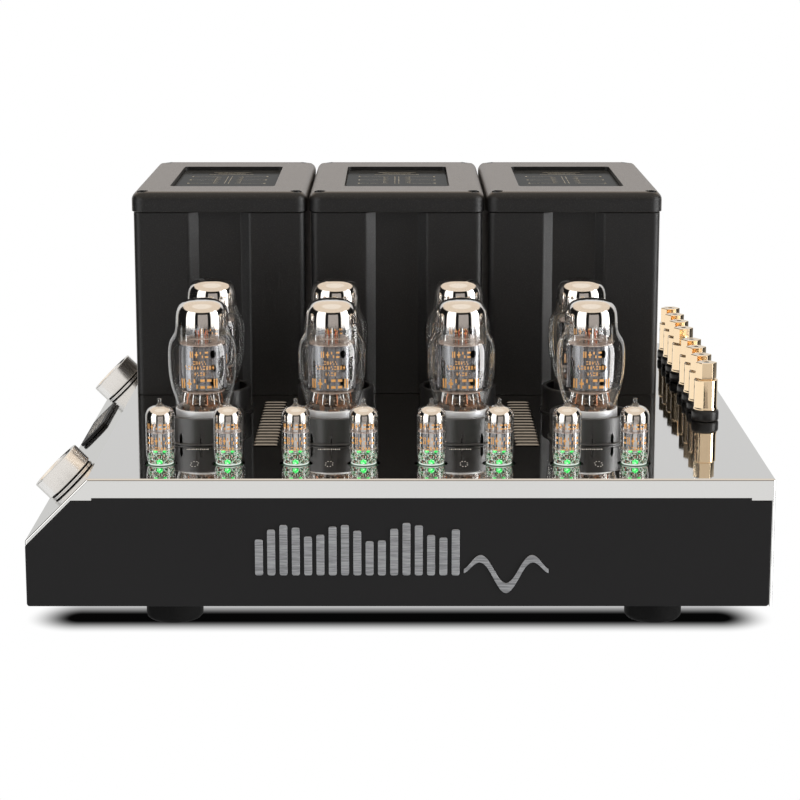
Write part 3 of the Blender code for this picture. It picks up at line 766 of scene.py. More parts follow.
def plate_holes():
    low, high = PLATE - 2 * SHEET, PLATE + SHEET
    holes = bmesh.new()
    for number in range(1, 9):
        for stem, radius in (("power_tube", 22), ("driver_tube", 11.6), ("terminal_nut", 5)):
            spot = foot_of(f"{stem}_{number}")
            hole = lathe([(0, low), (radius, low), (radius, high), (0, high)], 40)
            merge(holes, placed(hole, at(spot.x, spot.y, 0)))
    for x, y in louvre_places():
        slot = rounded_rectangle((2 * LOUVRE_HALF, 4), 1, (x, y - 2.0), 3)
        merge(holes, prism(slot, low, high))
    for where in ("front", "back"):
        hole = lathe([(0, -4 * SHEET), (5, -4 * SHEET), (5, SHEET), (0, SHEET)], 32)
        merge(holes, placed(hole, slant_frame(centre(f"control_knob_{where}").y)))
    return holes


def build_louvres():
    """Pressed ridges that hood the slots in the top plate."""
    ridges = bmesh.new()
    rise, run = 1.2, 4.6
    for x, y in louvre_places():
        loops = []
        for step in range(13):
            across = -1 + 2 * step / 12
            reach = (1 - abs(across) ** 10) ** 0.5 if abs(across) < 1 else 0.02
            section = [(y + run * (i / 8) + 0.3, PLATE - 0.2 + rise * reach * sin(pi * (i / 8)) **
                0.7) for i in range(9)]
            section += [(y + run + 0.3, PLATE - 0.4), (y + 0.3, PLATE - 0.4)]
            loops.append([(x + across * LOUVRE_HALF, *point) for point in section])
        merge(ridges, loft(loops))
    show(make("louvre_ridges", ridges, [louvre_steel_with_painted_shade], 60))


def build_fascia():
    outline = [(RIGHT - SHEET - GAP, PAN), (LEFT, PAN)] + opening_outline(GAP)
    radii = (2, 2, 0, 0, 0, 0, 0, 0, 0)
    sheet = prism(rounded_corners(outline, radii), FRONT, extent("front_panel")[1].y, "Y")
    panel = make("front_fascia", sheet, [satin_black_paint])
    show(flat_shaded_faces(soften(panel, 0.5, 3)), ["front_panel"])


def build_feet():
    """Turned rubber feet with a rounded foot and a groove near the top."""
    for row in ("front", "back"):
        for side in ("left", "right"):
            node = f"foot_{row}_{side}"
            low, high = extent(node)
            radius, height = (high.x - low.x) / 2, high.z
            profile = [(0, 1.2), (6, 1.2), (7, 0)]
            profile += [(radius - 4 + x, 4 + z) for x, z in arc((0, 0), 4, -90, 0, 6)]
            profile += [(radius, height - 4), (radius - 0.8, height - 3.6), (radius - 0.8, height -
                2.6), (radius, height - 2.2), (radius, height), (0, height)]
            foot = make("rubber_" + node, lathe(profile, 64), [black_rubber])
            move(foot, (centre(node).x, centre(node).y, 0))
            show(foot, [node])


# ------------------------------------------------------- transformer covers

CHANNEL_WIDTH = 48
CHANNEL_SLOPE = 7.4
CHANNEL_DEPTH = 6.5
COVER_CORNER = 6


def cover_outline(half_x, half_y, radius):
    """Plan of a cover, with softly bent channels in front and behind."""
    outer = CHANNEL_WIDTH / 2
    inner = outer - CHANNEL_SLOPE
    floor = -half_y + CHANNEL_DEPTH
    corners = [(-half_x, -half_y), (-outer, -half_y), (-inner, floor), (inner, floor),
        (outer, -half_y), (half_x, -half_y), (half_x, half_y), (outer, half_y), (inner, -floor),
        (-inner, -floor), (-outer, half_y), (-half_x, half_y)]
    wide, tight = 4.0, 0.8
    radii = (radius, wide, tight, tight, wide, radius) * 2
    return rounded_corners(corners, radii, 6)


def build_covers():
    sheet = 2
    shared = None
    for side in SIDES:
        node = f"transformer_cover_{side}"
        low, high = extent(node)
        half_x, half_y = (high.x - low.x) / 2, (high.y - low.y) / 2
        if shared is None:
            outer = cover_outline(half_x, half_y, COVER_CORNER)
            inner = cover_outline(half_x - sheet, half_y - sheet, COVER_CORNER - sheet)
            rim = 0.5
            loops = [(outer, low.z), (outer, high.z - rim), (None, high.z), (inner, high.z),
                (inner, low.z)]
            edge = cover_outline(half_x - rim, half_y - rim, COVER_CORNER - rim)
            shared = mesh_of("folded_cover", loft([[(x, y, z) for x, y in (outline or edge)] for
                outline, z in loops], closed=True))
        cover = make(f"folded_cover_{side}", shared, [black_powder_coat])
        middle = centre(node)
        move(cover, (middle.x, middle.y, 0))
        show(flat_shaded_faces(cover), [node])


LID_ROUND = 6.8
LID_ROOF = 7.5
LID_CORNER = 10
SEAT_INSET = 8.6
WINDOW_RECESS = 5.5


def build_lids():
    """Cast caps with a rolled edge, a window recess and four screws in open seats."""
    low, high = extent("cover_lid_left")
    size = (high.x - low.x, high.y - low.y)
    height = high.z - low.z

    def ring(inset, z):
        return [(x, y, z) for x, y in rounded_rectangle((size[0] - 2 * inset, size[1] - 2 * inset),
            LID_CORNER - inset, steps=12)]

    loops = [ring(0.4, 0), ring(0, 0.4)]
    for step in range(13):
        angle = radians(90 * step / 12)
        loops.append(ring(LID_ROUND * (1 - cos(angle)), height - LID_ROUND * (1 - sin(angle))))
    lid = make("cast_lid_left", loft(loops), [black_powder_coat])
    under = prism(rounded_rectangle((size[0] - 10, size[1] - 10), 5), -1, height - LID_ROOF)
    pane_low, pane_high = extent("lid_window_left")
    pane = ((pane_high.x - pane_low.x) + 4 * GAP, (pane_high.y - pane_low.y) + 4 * GAP)
    shift = centre("lid_window_left").y - centre("cover_lid_left").y
    recess = prism(rounded_rectangle(pane, 4, (0, shift)), height - WINDOW_RECESS, height + 1)
    corners = [(sx * (size[0] / 2 - SEAT_INSET), sy * (size[1] / 2 - SEAT_INSET)) for sx in (-1, 1)
        for sy in (-1, 1)]
    seats = bmesh.new()
    for x, y in corners:
        seat = lathe([(0, height - 3), (4.5, height - 3), (4.5, height + 1), (0, height + 1)], 40)
        merge(seats, placed(seat, at(x, y, 0)))
    cut(lid, under, recess, seats)
    screws = bmesh.new()
    for x, y in corners:
        merge(screws, placed(socket_screw(3.7, 2.2), at(x, y, height - 3)))
    screw_mesh = mesh_of("lid_screws", screws)
    for side in SIDES:
        node = f"cover_lid_{side}"
        cap = lid if side == "left" else make(f"cast_lid_{side}", lid.data, [black_powder_coat])
        middle = centre(node)
        move(cap, (middle.x, middle.y, low.z))
        show(flat_shaded_faces(cap), [node])
        group = make(f"lid_screws_{side}", screw_mesh, [blued_screw])
        group.location = cap.location
        show(group)
    build_windows()


def socket_screw(radius, height):
    """Cap screw head with a hexagonal socket."""
    head = make("screw_head", lathe([(0, 0), (radius, 0), (radius, height - 0.5), (radius - 0.5,
        height), (0, height)], 32), ())
    key, floor = radius * 0.55, height * 0.4
    return take_mesh(cut(head, lathe([(0, floor), (key, floor), (key, height + 1), (0, height + 1)],
        6)))


def build_windows():
    """Smoked panes with a plain line drawing of windings printed on them."""
    low, high = extent("lid_window_left")
    outline = rounded_rectangle((high.x - low.x, high.y - low.y), 4)
    pane_mesh = mesh_of("smoked_pane", prism(outline, low.z, high.z - 0.01))
    drawing = mesh_of("winding_drawing", winding_drawing())
    for side in SIDES:
        node = f"lid_window_{side}"
        middle = centre(node)
        pane = make(f"smoked_pane_{side}", pane_mesh, [window_glass])
        move(pane, (middle.x, middle.y, 0))
        show(soften(pane, 0.3), [node])
        lines = make(f"winding_drawing_{side}", drawing, [pale_print])
        move(lines, (middle.x, middle.y, high.z))
        show(lines)


def flat_line(path, width, thickness=0.02):
    """Printed line through (x, y) points, lying on z = 0."""
    bm = bmesh.new()
    for start, end in zip(path, path[1:]):
        start, end = Vector((*start, 0)), Vector((*end, 0))
        along = (end - start).normalized() * width / 2
        side = Vector((-along.y, along.x, 0))
        corners = [start - along - side, end + along - side, end + along + side, start - along +
            side]
        merge(bm, prism([(c.x, c.y) for c in corners], 0, thickness))
    return bm


def winding_drawing():
    """Two coils with a core between them, and straight leads."""
    bm = bmesh.new()
    width = 0.6
    for side in (-1, 1):
        x = side * 7
        for turn in range(6):
            y = (turn - 2.5) * 8
            loop = [(x + side * px, y + py) for px, py in arc((0, 0), 4, -90, 90, 8)]
            merge(bm, flat_line(loop, width))
        for y in (-24, 0, 24):
            merge(bm, flat_line([(x, y), (side * 30, y)], width))
    for x in (-1.6, 1.6):
        merge(bm, flat_line([(x, -26), (x, 26)], width))
    for row, length in enumerate((36, 22, 30)):
        y = 40 + row * 7
        merge(bm, flat_line([(-length / 2, y), (length / 2, y)], 1.4))
    for side in (-1, 1):
        for row in range(3):
            y = (row - 1) * 24
            merge(bm, flat_line([(side * 31, y - 2), (side * 31, y + 2)], 1.6))
    return bm


# ---------------------------------------------------------------- output tubes

BULB_CURVE = spline([(18.4, 21.4), (19.0, 25), (20.5, 30.4), (22.6, 37.2), (24.0, 44), (24.8, 51),
    (25.0, 58), (24.9, 65), (24.3, 69.5), (23.2, 73), (21.4, 76), (20.0, 78.6), (19.3, 82),
    (19.1, 87), (18.7, 92), (17.5, 96.4), (14.8, 99.8), (10.4, 101.9), (5, 102.8)])


def radius_at(curve, height):
    for (r0, z0), (r1, z1) in zip(curve, curve[1:]):
        if z0 <= height <= z1:
            return r0 + (r1 - r0) * (height - z0) / max(z1 - z0, 1e-9)
    return curve[-1][0]


def ink_patch(curve, height, tall, start, wide):
    """Thin printed bar on a bulb. Start and width are arc lengths from the front."""
    loops = []
    for row in range(3):
        z = height + tall * (row / 2 - 0.5)
        radius = radius_at(curve, z)
        angles = [-pi / 2 + (start + wide * column / 3) / radius for column in range(4)]
        loops.append([((radius + lift) * cos(a), (radius + lift) * sin(a), z) for lift, turns in
            ((0.03, angles), (0.08, angles[::-1])) for a in turns])
    return loft(loops)


def ink_rows(curve, rows):
    """Rows of plain marks, centred on the front: (height, row height, row width, count).

    Each mark is one of four figures, made of bars given as (left, rise, width, height).
    """
    bm = bmesh.new()
    figures = (((0, 0, 0.22, 1.0), (0.40, 0, 0.22, 1.0)), ((0, 0.36, 0.66, 0.28), (0, -0.36, 0.66,
        0.28)), ((0, 0.3, 0.24, 0.4), (0.38, -0.3, 0.24, 0.4)), ((0, 0, 0.66, 0.26), (0.22, 0,
        0.22, 1.0)))
    for number, (height, tall, wide, count) in enumerate(rows):
        pitch = wide / count
        for mark in range(count):
            start = -wide / 2 + mark * pitch
            for left, rise, across, up in figures[(mark * 3 + number + mark // 4) % 4]:
                merge(bm, ink_patch(curve, height + rise * tall, up * tall, start + left * pitch,
                    across * pitch))
    return bm


def shell_below(curve, low, thickness):
    """Closed thin shell that follows a bulb curve above a height, on its inner side."""
    clearance = 0.35
    outer = [(r - clearance, z - clearance * 0.3) for r, z in curve if z >= low]
    inner = [(r - thickness, z - thickness * 0.4) for r, z in outer]
    return outer + [(0, outer[-1][1]), (0, inner[-1][1])] + inner[::-1]


def disc(radius, low, high, slot, teeth=0):
    """Round sheet, with small teeth that grip the bulb."""
    count = max(48, teeth * 4)
    outline = []
    for i in range(count):
        reach = radius
        if teeth and (i // 2) % 2:
            reach -= 0.7
        angle = TAU * i / count
        outline.append((reach * cos(angle), reach * sin(angle)))
    return prism(outline, low, high, slot=slot)


def power_core():
    """Base, stem, plates and rods of an output tube. Slots follow build_power_tubes."""
    base = lathe([(0, 3.4), (19.8, 3.4), (20.1, 3.8), (20.1, 22.7), (19.7, 23.2), (19.1, 23.2),
        (18.9, 22.9), (18.9, 20.5), (0, 20.5)], 72, slot=0)
    foot = lathe(spline([(18.6, 20.6), (18.2, 23.4), (16.4, 26), (13.4, 27.6), (11.4, 29.4),
        (10.2, 32), (9.4, 34)], 4) + [(0, 34.2)], 48, slot=4)
    merge(base, foot, plates())
    merge(base, disc(15.6, 35.2, 35.8, 2, 20))
    merge(base, disc(16.5, 70.2, 70.8, 2, 22))
    merge(base, disc(12, 74.6, 74.9, 2, 16))
    for x in (-11.5, 11.5):
        merge(base, wire([(x, 0, 33), (x, 0, 76)], 0.55, slot=5))
    merge(base, wire([(0.6, -8.6, 70.8), (0.6, -8.6, 83)], 0.5, slot=5))
    for x, y in ((-4.4, -3), (4.2, -3.4), (-2, 3), (3, 4)):
        merge(base, wire([(x, y, 31), (x, y, 36), (x, y, 80)], 0.42, slot=3))
    for i in range(16):
        angle = TAU * i / 16 + 0.3
        x, y = 14.6 * cos(angle), 14.6 * sin(angle)
        merge(base, wire([(x, y, 24), (x * 0.94, y * 0.94, 31), (x * 0.86, y * 0.80, 35.4)], 0.42,
            slot=5 if i % 3 else 3))
    for x, y in ((-2.2, -8.4), (3.2, -8.2)):
        merge(base, wire([(x, y, 70.8), (x * 0.8, y, 77), (x, y, 81)], 0.3, slot=6))
    for x in (-5.5, 5.5):
        merge(base, box((x - 0.3, -5, 70.8), (x + 0.3, 1, 79), slot=1))
    return base


def plates():
    """Folded plate box with side seams, pressed ribs and a column of round windows."""
    low, high = 36.6, 69.4
    half_x, half_y = 14.9, 9.6
    body = rounded_rectangle((2 * half_x, 2 * half_y), 8.6, steps=12)
    item = make("plate_box", prism(body, low, high, slot=1), ())
    windows = bmesh.new()
    ribs = bmesh.new()
    for face in (-1, 1):
        for z in (42.6, 53.1, 63.5):
            window = [(-face * 8.2 + x, z + 1.35 * y) for x, y in arc((0, 0), 2.2, 0, 360, 20)[:-1]]
            # The window pockets take slot 8, black painted as the shade inside the plate box.
            merge(windows, prism(window, face * 4, face * (half_y + 1), "Y", slot=8))
        for x in (-4.6, 4.6):
            near, far = sorted((face * 6, face * (half_y + 0.45)))
            merge(ribs, box((x - 0.9, near, low + 1), (x + 0.9, far, high - 1), slot=1))
        near, far = sorted((face * 14, face * 17.2))
        merge(ribs, box((near, -0.5, low + 1), (far, 0.5, high - 1), slot=1))
    return merge(take_mesh(cut(item, windows)), ribs)


def show_tubes(stem, cores, parts):
    """Place eight tubes. A core is (mesh, materials), a part is (name, mesh, material)."""
    for number, (core, looks) in enumerate(cores, 1):
        node = f"{stem}_{number}"
        piece = make(f"{node}_core", core, looks)
        move(piece, foot_of(node))
        show(piece, [node])
        for part, mesh, look in parts:
            piece = make(f"{node}_{part}", mesh, [look])
            move(piece, foot_of(node))
            show(piece)


def build_power_tubes():
    """Output tubes. The bases of the back row take the black guard material as painted shade, for the
    shade the front row casts on them.
    """
    looks = [brushed_aluminium, plate_grey, mica, copper_wire, amber_stem, bright_wire, heater_glow,
        moulded_black_plastic, black_fill_and_painted_hole_shade]
    core = mesh_of("power_core", power_core())
    # Back-row copies swap the aluminium base for guard_black: painted shade.
    cores = [(core, looks)] * 4 + [(core.copy(), [guard_black] + looks[1:])] * 4
    envelope = lathe([(0, 21.4)] + BULB_CURVE + [(0, 103)], 96)
    silver = lathe(shell_below(BULB_CURVE, 70, 0.1), 96, closed=True)
    ink = ink_rows(BULB_CURVE, ((66.0, 4.4, 14.5, 4), (60.1, 2.6, 10, 5), (56.5, 2.8, 22, 10),
        (51.9, 2.6, 8.5, 4), (44.6, 7.0, 29, 6)))
    show_tubes("power_tube", cores, [("bulb", mesh_of("power_bulb", envelope), bulb_glass),
        ("silver", mesh_of("power_silver", silver), power_getter), ("ink", mesh_of("power_ink",
        ink), orange_print_with_painted_glow)])


def build_collars():
    """Guard rings with a flange and pointed slots around their foot."""
    wall = [(0, 0.3), (30.5, 0.3), (30.5, 1.1), (30.3, 1.3), (29.3, 1.3), (28.8, 1.7), (28.8, 2.3),
        (29.0, 2.5), (29.0, 19.5), (28.6, 19.9), (26.2, 19.9), (25.8, 19.5), (25.8, 3.0), (0, 3.0)]
    first = make("guard_collar_1", lathe(wall, 96), [guard_black])
    slots = bmesh.new()
    for i in range(12):
        half = 1.3 if i % 2 else 0.35
        pointed = [(-half, 1.3), (half, 1.3), (half, 6.2), (0, 9.2), (-half, 6.2)]
        slot = prism(pointed, -33, -24, "Y")
        merge(slots, placed(slot, Matrix.Rotation(radians(30 * i), 4, "Z")))
    cut(first, slots)
    for number in range(1, 9):
        node = f"socket_collar_{number}"
        ring = first if number == 1 else make(f"guard_collar_{number}", first.data, [guard_black])
        move(ring, foot_of(node))
        show(flat_shaded_faces(ring), [node])


# ---------------------------------------------------------------- signal tubes

SMALL_CURVE = spline([(8.4, 0.8), (9.2, 2.2), (10.0, 6.5), (10.2, 11), (10.2, 22), (10.2, 33.4),
    (9.7, 36.4), (8.3, 38.9), (5.8, 40.5), (3.0, 41.4), (1.9, 42.4), (1.35, 43.8), (1.65, 45.2),
    (1.2, 46.3)], 4)


def driver_core():
    """Plates, mica, rods and the glass foot of a signal tube. The foot's glints are painted light."""
    bm = bmesh.new()
    for side in (-1, 1):
        x = side * 4.3
        plate = rounded_rectangle((5.6, 7.4), 2.4, (x, 0), 5)
        merge(bm, prism(plate, 11.8, 22.4, slot=0))
        for y in (-3.4, 3.4):
            merge(bm, wire([(side * 4.3, y, 9), (side * 4.3, y, 27)], 0.3, slot=1))
        merge(bm, wire([(side * 7.6, 0, 8), (side * 7.6, 0, 26)], 0.32, slot=1))
    merge(bm, box((-1.5, -4.2, 11), (1.5, 4.2, 30), slot=5))
    merge(bm, disc(9.4, 23.0, 23.4, 2, 18))
    merge(bm, disc(9.4, 10.9, 11.3, 2, 18))
    foot = lathe([(0, 0.9), (7.8, 0.9), (8.8, 2.4), (9.3, 5.0), (8.8, 7.4), (6.4, 8.8), (0, 9.2)],
        26, slot=3)
    merge(bm, foot)
    for i in range(9):
        angle = TAU * (i + 0.5) / 10
        x, y = 6.1 * cos(angle), 6.1 * sin(angle)
        merge(bm, wire([(x * 1.2, y * 1.2, 4.6), (x, y, 8.2), (x * 0.8, y * 0.8, 10.9)], 0.42,
            slot=6 if i % 3 == 0 else 1))
    bead = [(0, -1.0), (1.1, -0.7), (1.4, 0), (1.1, 0.7), (0, 1.0)]
    for x in (-3.2, 3.2):
        merge(bm, placed(lathe(bead, 16, slot=4), at(x, -5.2, 9.9)))
    lamp = [(0, 0), (2.6, 0.2), (3.0, 2.0), (2.2, 4.6), (0, 5.4)]
    merge(bm, placed(lathe(lamp, 18, slot=4), at(0, -6.6, 1.6)))
    return bm


def build_driver_tubes():
    looks = [plate_grey, bright_wire, mica, clear_stem, green_glow, brushed_aluminium, copper_wire]
    core = mesh_of("driver_core", driver_core())
    envelope = lathe([(0, 0.8)] + SMALL_CURVE + [(0, 46.7)], 64)
    dome = [point for point in SMALL_CURVE if point[1] < 41.2]
    silver = lathe(shell_below(dome, 27, 0.1), 64, closed=True)
    # The halo is a ring of painted glow on the glass rim at the foot of the bulb.
    halo = lathe(arc((8.4, 0.75), 0.45, 0, 360, 12)[:-1], 64, closed=True)
    ink = ink_rows(SMALL_CURVE, ((28.1, 3.7, 18.2, 6), (18.1, 5.0, 18.2, 6), (12.7, 2.6, 10.5, 5)))
    show_tubes("driver_tube", [(core, looks)] * 8, [("bulb", mesh_of("driver_bulb", envelope),
        bulb_glass), ("silver", mesh_of("driver_silver", silver), driver_getter),
        ("halo", mesh_of("driver_halo", halo), painted_rim_glow), ("ink", mesh_of("driver_ink", ink),
        orange_print_with_painted_glow)])


def build_plate_marks():
    """White marks on the top plate: a ring of dots and a dotted line at each front tube."""
    marks = bmesh.new()
    film = 0.02
    row = centre("driver_tube_1").y
    for number in range(1, 5):
        spot = foot_of(f"power_tube_{number}")
        for i in range(8):
            angle = TAU * (i + 0.5) / 8
            dot = rounded_rectangle((0.9, 1.9), 0.4, (spot.x + 2.6 * cos(angle), row - 2 + 8 *
                sin(angle)), 2)
            merge(marks, prism(dot, PLATE, PLATE + film))
        for i in range(12):
            dot = rounded_rectangle((0.9, 2.2 + 1.2 * (i % 2)), 0.3, (spot.x + (i - 5.5) * 1.35 -
                1.5, spot.y - 39), 2)
            merge(marks, prism(dot, PLATE, PLATE + film))
    show(make("plate_marks", marks, [white_print]))


# ---------------------------------------------------------------- terminals

def build_terminals():
    """Insulated studs in a strip under the plate, with turned gold nuts."""
    low, high = extent("terminal_block")
    top = PLATE - SHEET - GAP
    strip = box((low.x, low.y, low.z), (high.x, high.y, top))
    posts = bmesh.new()
    insulator = [(4.4, -3), (4.4, 0.3), (9.5, 0.3), (10.0, 0.8), (10.2, 1.6), (10.2, 6.6),
        (9.9, 7.7), (9.2, 8.3), (3.2, 8.3)]
    stud = [(0, -5), (3.0, -5)]
    for i in range(16):
        stud += [(3.0, 9 + i * 1.3), (2.6, 9.65 + i * 1.3)]
    stud += [(2.4, 30), (0, 30)]
    for number in range(1, 9):
        spot = foot_of(f"terminal_nut_{number}")
        ring = lathe([(0, -3)] + insulator + [(0, 8.3)], 64, slot=0)
        merge(posts, placed(ring, at(*spot)))
        merge(posts, placed(lathe(stud, 24, slot=1), at(*spot)))
    block = make("insulated_studs", merge(strip, posts), [moulded_black_plastic, gold_plate])
    show(block, ["terminal_block"])

    nut = gold_nut()
    for number in range(1, 9):
        node = f"terminal_nut_{number}"
        piece = make(f"gold_nut_{number}", nut, [gold_plate, black_fill_and_painted_hole_shade])
        move(piece, foot_of(node))
        show(flat_shaded_faces(piece), [node], f"nut_{number}")


def gold_nut():
    """Barrel with a hexagonal head, a hole in its top and a cross hole."""
    barrel = make("nut_barrel", lathe([(0, 30.6), (3.6, 30.6), (3.6, 8.6), (8.4, 8.6), (9.1, 8.9),
        (9.1, 10.2), (8.75, 10.6), (8.75, 30.6), (8.9, 30.9), (8.6, 31.5), (6.6, 31.7),
        (6.4, 32.2), (6.6, 32.6), (0, 32.6)], 72), ())
    head = make("nut_head", lathe([(0, 31.8), (7.2, 31.8), (7.95, 32.6), (7.95, 44.0), (7.5, 44.5),
        (0, 44.5)], 6), ())
    cut(barrel, take_mesh(soften(head, 0.25, 2)), operation="UNION")
    # The holes take slot 1, black painted as the shade inside them.
    hole = lathe([(0, 36), (1.9, 36), (1.9, 46), (0, 46)], 24, slot=1)
    cross = placed(lathe([(0, -12), (1.7, -12), (1.7, 12), (0, 12)], 20, slot=1), at(0, 0, 26) @
        Matrix.Rotation(radians(90), 4, "Y"))
    mesh = cut(barrel, hole, cross).data
    bpy.data.objects.remove(barrel, do_unlink=True)
    return mesh


# ---------------------------------------------------------------- controls

KNOB_STANDOFF = 2.2                        # above the slanted panel


def build_knobs():
    """Turned knobs with a setting line, each over a steel ring and a black ring that paints the shade in
    the gap under the knob.
    """
    profile = [(3.5, 8), (3.5, 0.0), (19.1, 0.0), (19.7, 0.2), (19.9, 0.7), (19.9, 13.7),
        (19.7, 14.2), (19.2, 14.4), (16.8, 14.4), (16.4, 14.0), (16.2, 13.3), (0, 13.2)]
    item = make("turned_knob", lathe([(0, 8)] + profile, 128), ())
    mesh = cut(item, box((9, -0.7, 12.6), (15.6, 0.7, 16), slot=1)).data
    bpy.data.objects.remove(item, do_unlink=True)
    for where in ("front", "back"):
        node = f"control_knob_{where}"
        knob = make(f"turned_knob_{where}", mesh, [turned_steel, black_fill_and_painted_hole_shade])
        place(knob, slant_frame(centre(node).y, KNOB_STANDOFF))
        show(flat_shaded_faces(knob), [node], f"knob_{where}")
        # The black ring stands in for the shade in the gap between knob and panel: painted shade.
        for stem, radius, low, high, look, slot in (("knob_ring", 19.2, 0.1, 0.9, turned_steel,
                "polished_steel"), ("painted_shade_ring", 18.4, 1.0, 2.0, black_rubber, "black_rubber")):
            ring = make(f"{stem}_{where}", lathe([(5.6, low), (radius, low), (radius, high),
                (5.6, high)], 96, closed=True), [look])
            place(ring, slant_frame(centre(node).y))
            show(ring)


def build_badge():
    """Plain rounded plate with thin parallel lines."""
    matrix = slant_frame(centre("side_badge").y) @ at(-7, 0, 0)
    plate = make("badge_plate", prism(rounded_rectangle((26, 92), 9, steps=14), GAP, 2.8),
        [satin_black_paint])
    place(plate, matrix)
    show(soften(plate, 0.6, 3), ["side_badge"])
    bars = bmesh.new()
    for i in range(5):
        x = (i - 2) * 3.4
        length = 70 - 9 * abs(i - 2)
        bar = rounded_rectangle((0.7, length), 0.3, (x, 0), 3)
        merge(bars, prism(bar, 2.8, 3.0))
    trim = make("badge_bars", bars, [white_print])
    place(trim, matrix)
    show(trim)


def build_emblem():
    """Raised brushed bars of varied height, and a short wave, on the fascia."""
    mark = bmesh.new()
    base = PLATE - 67.6
    for i in range(17):
        x = MIDDLE - 96 + i * 8.4
        tall = 20 + 14 * abs(sin(0.62 * i + 0.4)) + 4 * sin(0.35 * i) ** 2
        bar = rounded_rectangle((5.4, tall), 1.4, (x, base + tall / 2), 3)
        merge(mark, prism(bar, FRONT - 1.0, FRONT - 0.05, "Y"))
    upper, lower = [], []
    for i in range(49):
        t = i / 48
        x = MIDDLE + 44 + t * 58
        z = base + 3 + 12 * sin(TAU * 1.5 * t) * sin(pi * t) ** 0.5
        half = 1.4 + 2.2 * sin(pi * t)
        upper.append((x, z + half))
        lower.append((x, z - half))
    merge(mark, prism(upper + lower[::-1], FRONT - 1.0, FRONT - 0.05, "Y"))
    emblem = make("fascia_emblem", mark, [emblem_metal])
    show(soften(emblem, 0.2, 2, 60))


# ---------------------------------------------------------------- back

def build_input_panel():
    """Plate with four gold sockets, their coloured rings and two screws."""
    node = "input_panel"
    low, high = extent(node)
    middle, z = centre(node).x, centre(node).z
    inner = BACK - 1.8
    panel = prism(rounded_rectangle((high.x - low.x, high.z - low.z), 3, (middle, z)), low.y, inner,
        "Y", slot=0)
    turn = Matrix.Rotation(radians(-90), 4, "X")
    reach = high.y - inner
    for column in range(4):
        spot = at(middle + (column - 1.5) * 23, inner, z) @ turn
        body = lathe([(3.1, 0), (5.6, 0), (5.6, 1.6), (4.15, 1.8), (4.15, reach - 0.4),
            (3.9, reach), (3.1, reach)], 48, closed=True, slot=1)
        core = lathe([(1.7, 0), (3.1, 0), (3.1, reach - 1), (1.7, reach - 1)], 32, closed=True,
            slot=2)
        merge(panel, placed(body, spot), placed(core, spot))
        ring = lathe([(5.8, 0), (8.0, 0), (8.0, 0.7), (7.6, 1), (5.8, 1)], 48, closed=True, slot=3 +
            column % 2)
        merge(panel, placed(ring, spot))
    for side in (-1, 1):
        spot = at(middle + side * 44, inner, z + 14) @ turn
        merge(panel, placed(socket_screw(2.6, 1.6), spot))
    show(make("signal_sockets", panel, [satin_black_paint, gold_plate, moulded_black_plastic,
        white_print, black_rubber]), [node])


def build_mains_inlet():
    """Mains connector with a recess and three blades."""
    low, high = extent("mains_inlet")
    x, z = centre("mains_inlet").x, centre("mains_inlet").z
    size = (high.x - low.x, high.z - low.z)
    shell = make("inlet_shell", prism(rounded_rectangle(size, 2, (x, z)), low.y, high.y, "Y"), ())
    wide, tall, corner = 13, 9, 4
    recess = [(x - wide, z - tall), (x + wide, z - tall), (x + wide, z + tall - corner), (x + wide -
        corner, z + tall), (x - wide + corner, z + tall), (x - wide, z + tall - corner)]
    bm = take_mesh(cut(shell, prism(recess, BACK - 15, BACK + 6, "Y")))
    for dx, dz in ((-7, -1.5), (0, 2.5), (7, -1.5)):
        merge(bm, box((x + dx - 0.8, BACK - 15.5, z + dz - 2), (x + dx + 0.8, BACK - 2, z + dz + 2),
            slot=1))
    show(make("mains_connector", bm, [moulded_black_plastic, bright_wire]),
        ["mains_inlet"])


def finish_cad_nodes():
    """Procedural materials on the CAD nodes that stay as they are."""
    choices = {"base_pan": black_powder_coat, "driver_board": circuit_resin, "mains_transformer":
        lamination, "output_transformer_left": lamination, "output_transformer_right": lamination,
        "rotary_control_front": zinc_plate, "rotary_control_back": zinc_plate}
    for node, choice in choices.items():
        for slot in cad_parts[node].material_slots:
            slot.material = choice


# ---------------------------------------------------------------- studio

CAMERA_DISTANCE = 1583.8                   # from the front face
CAMERA_RISE = 385.5                        # above the top plate
CAMERA_SHIFT = -0.5                        # from the middle
CAMERA_PITCH = 11.793                      # degrees down
CAMERA_YAW = 0.032                         # degrees to the right
CAMERA_LENS = 108                          # millimetres, on a 36 mm sensor
FLOOR_HALF = 60000                         # half its width
WHITE = (1, 1, 1)
WARM_WHITE = (1, 0.97, 0.94)


def build_camera():
    data = bpy.data.cameras.new("camera")
    data.lens = CAMERA_LENS
    data.sensor_width = 36
    data.clip_end = 200
    camera = bpy.data.objects.new("camera", data)
    move(camera, (MIDDLE + CAMERA_SHIFT, FRONT - CAMERA_DISTANCE, PLATE + CAMERA_RISE))
    camera.rotation_euler = (radians(90 - CAMERA_PITCH), 0, radians(-CAMERA_YAW))
    bpy.context.scene.collection.objects.link(camera)
    bpy.context.scene.camera = camera


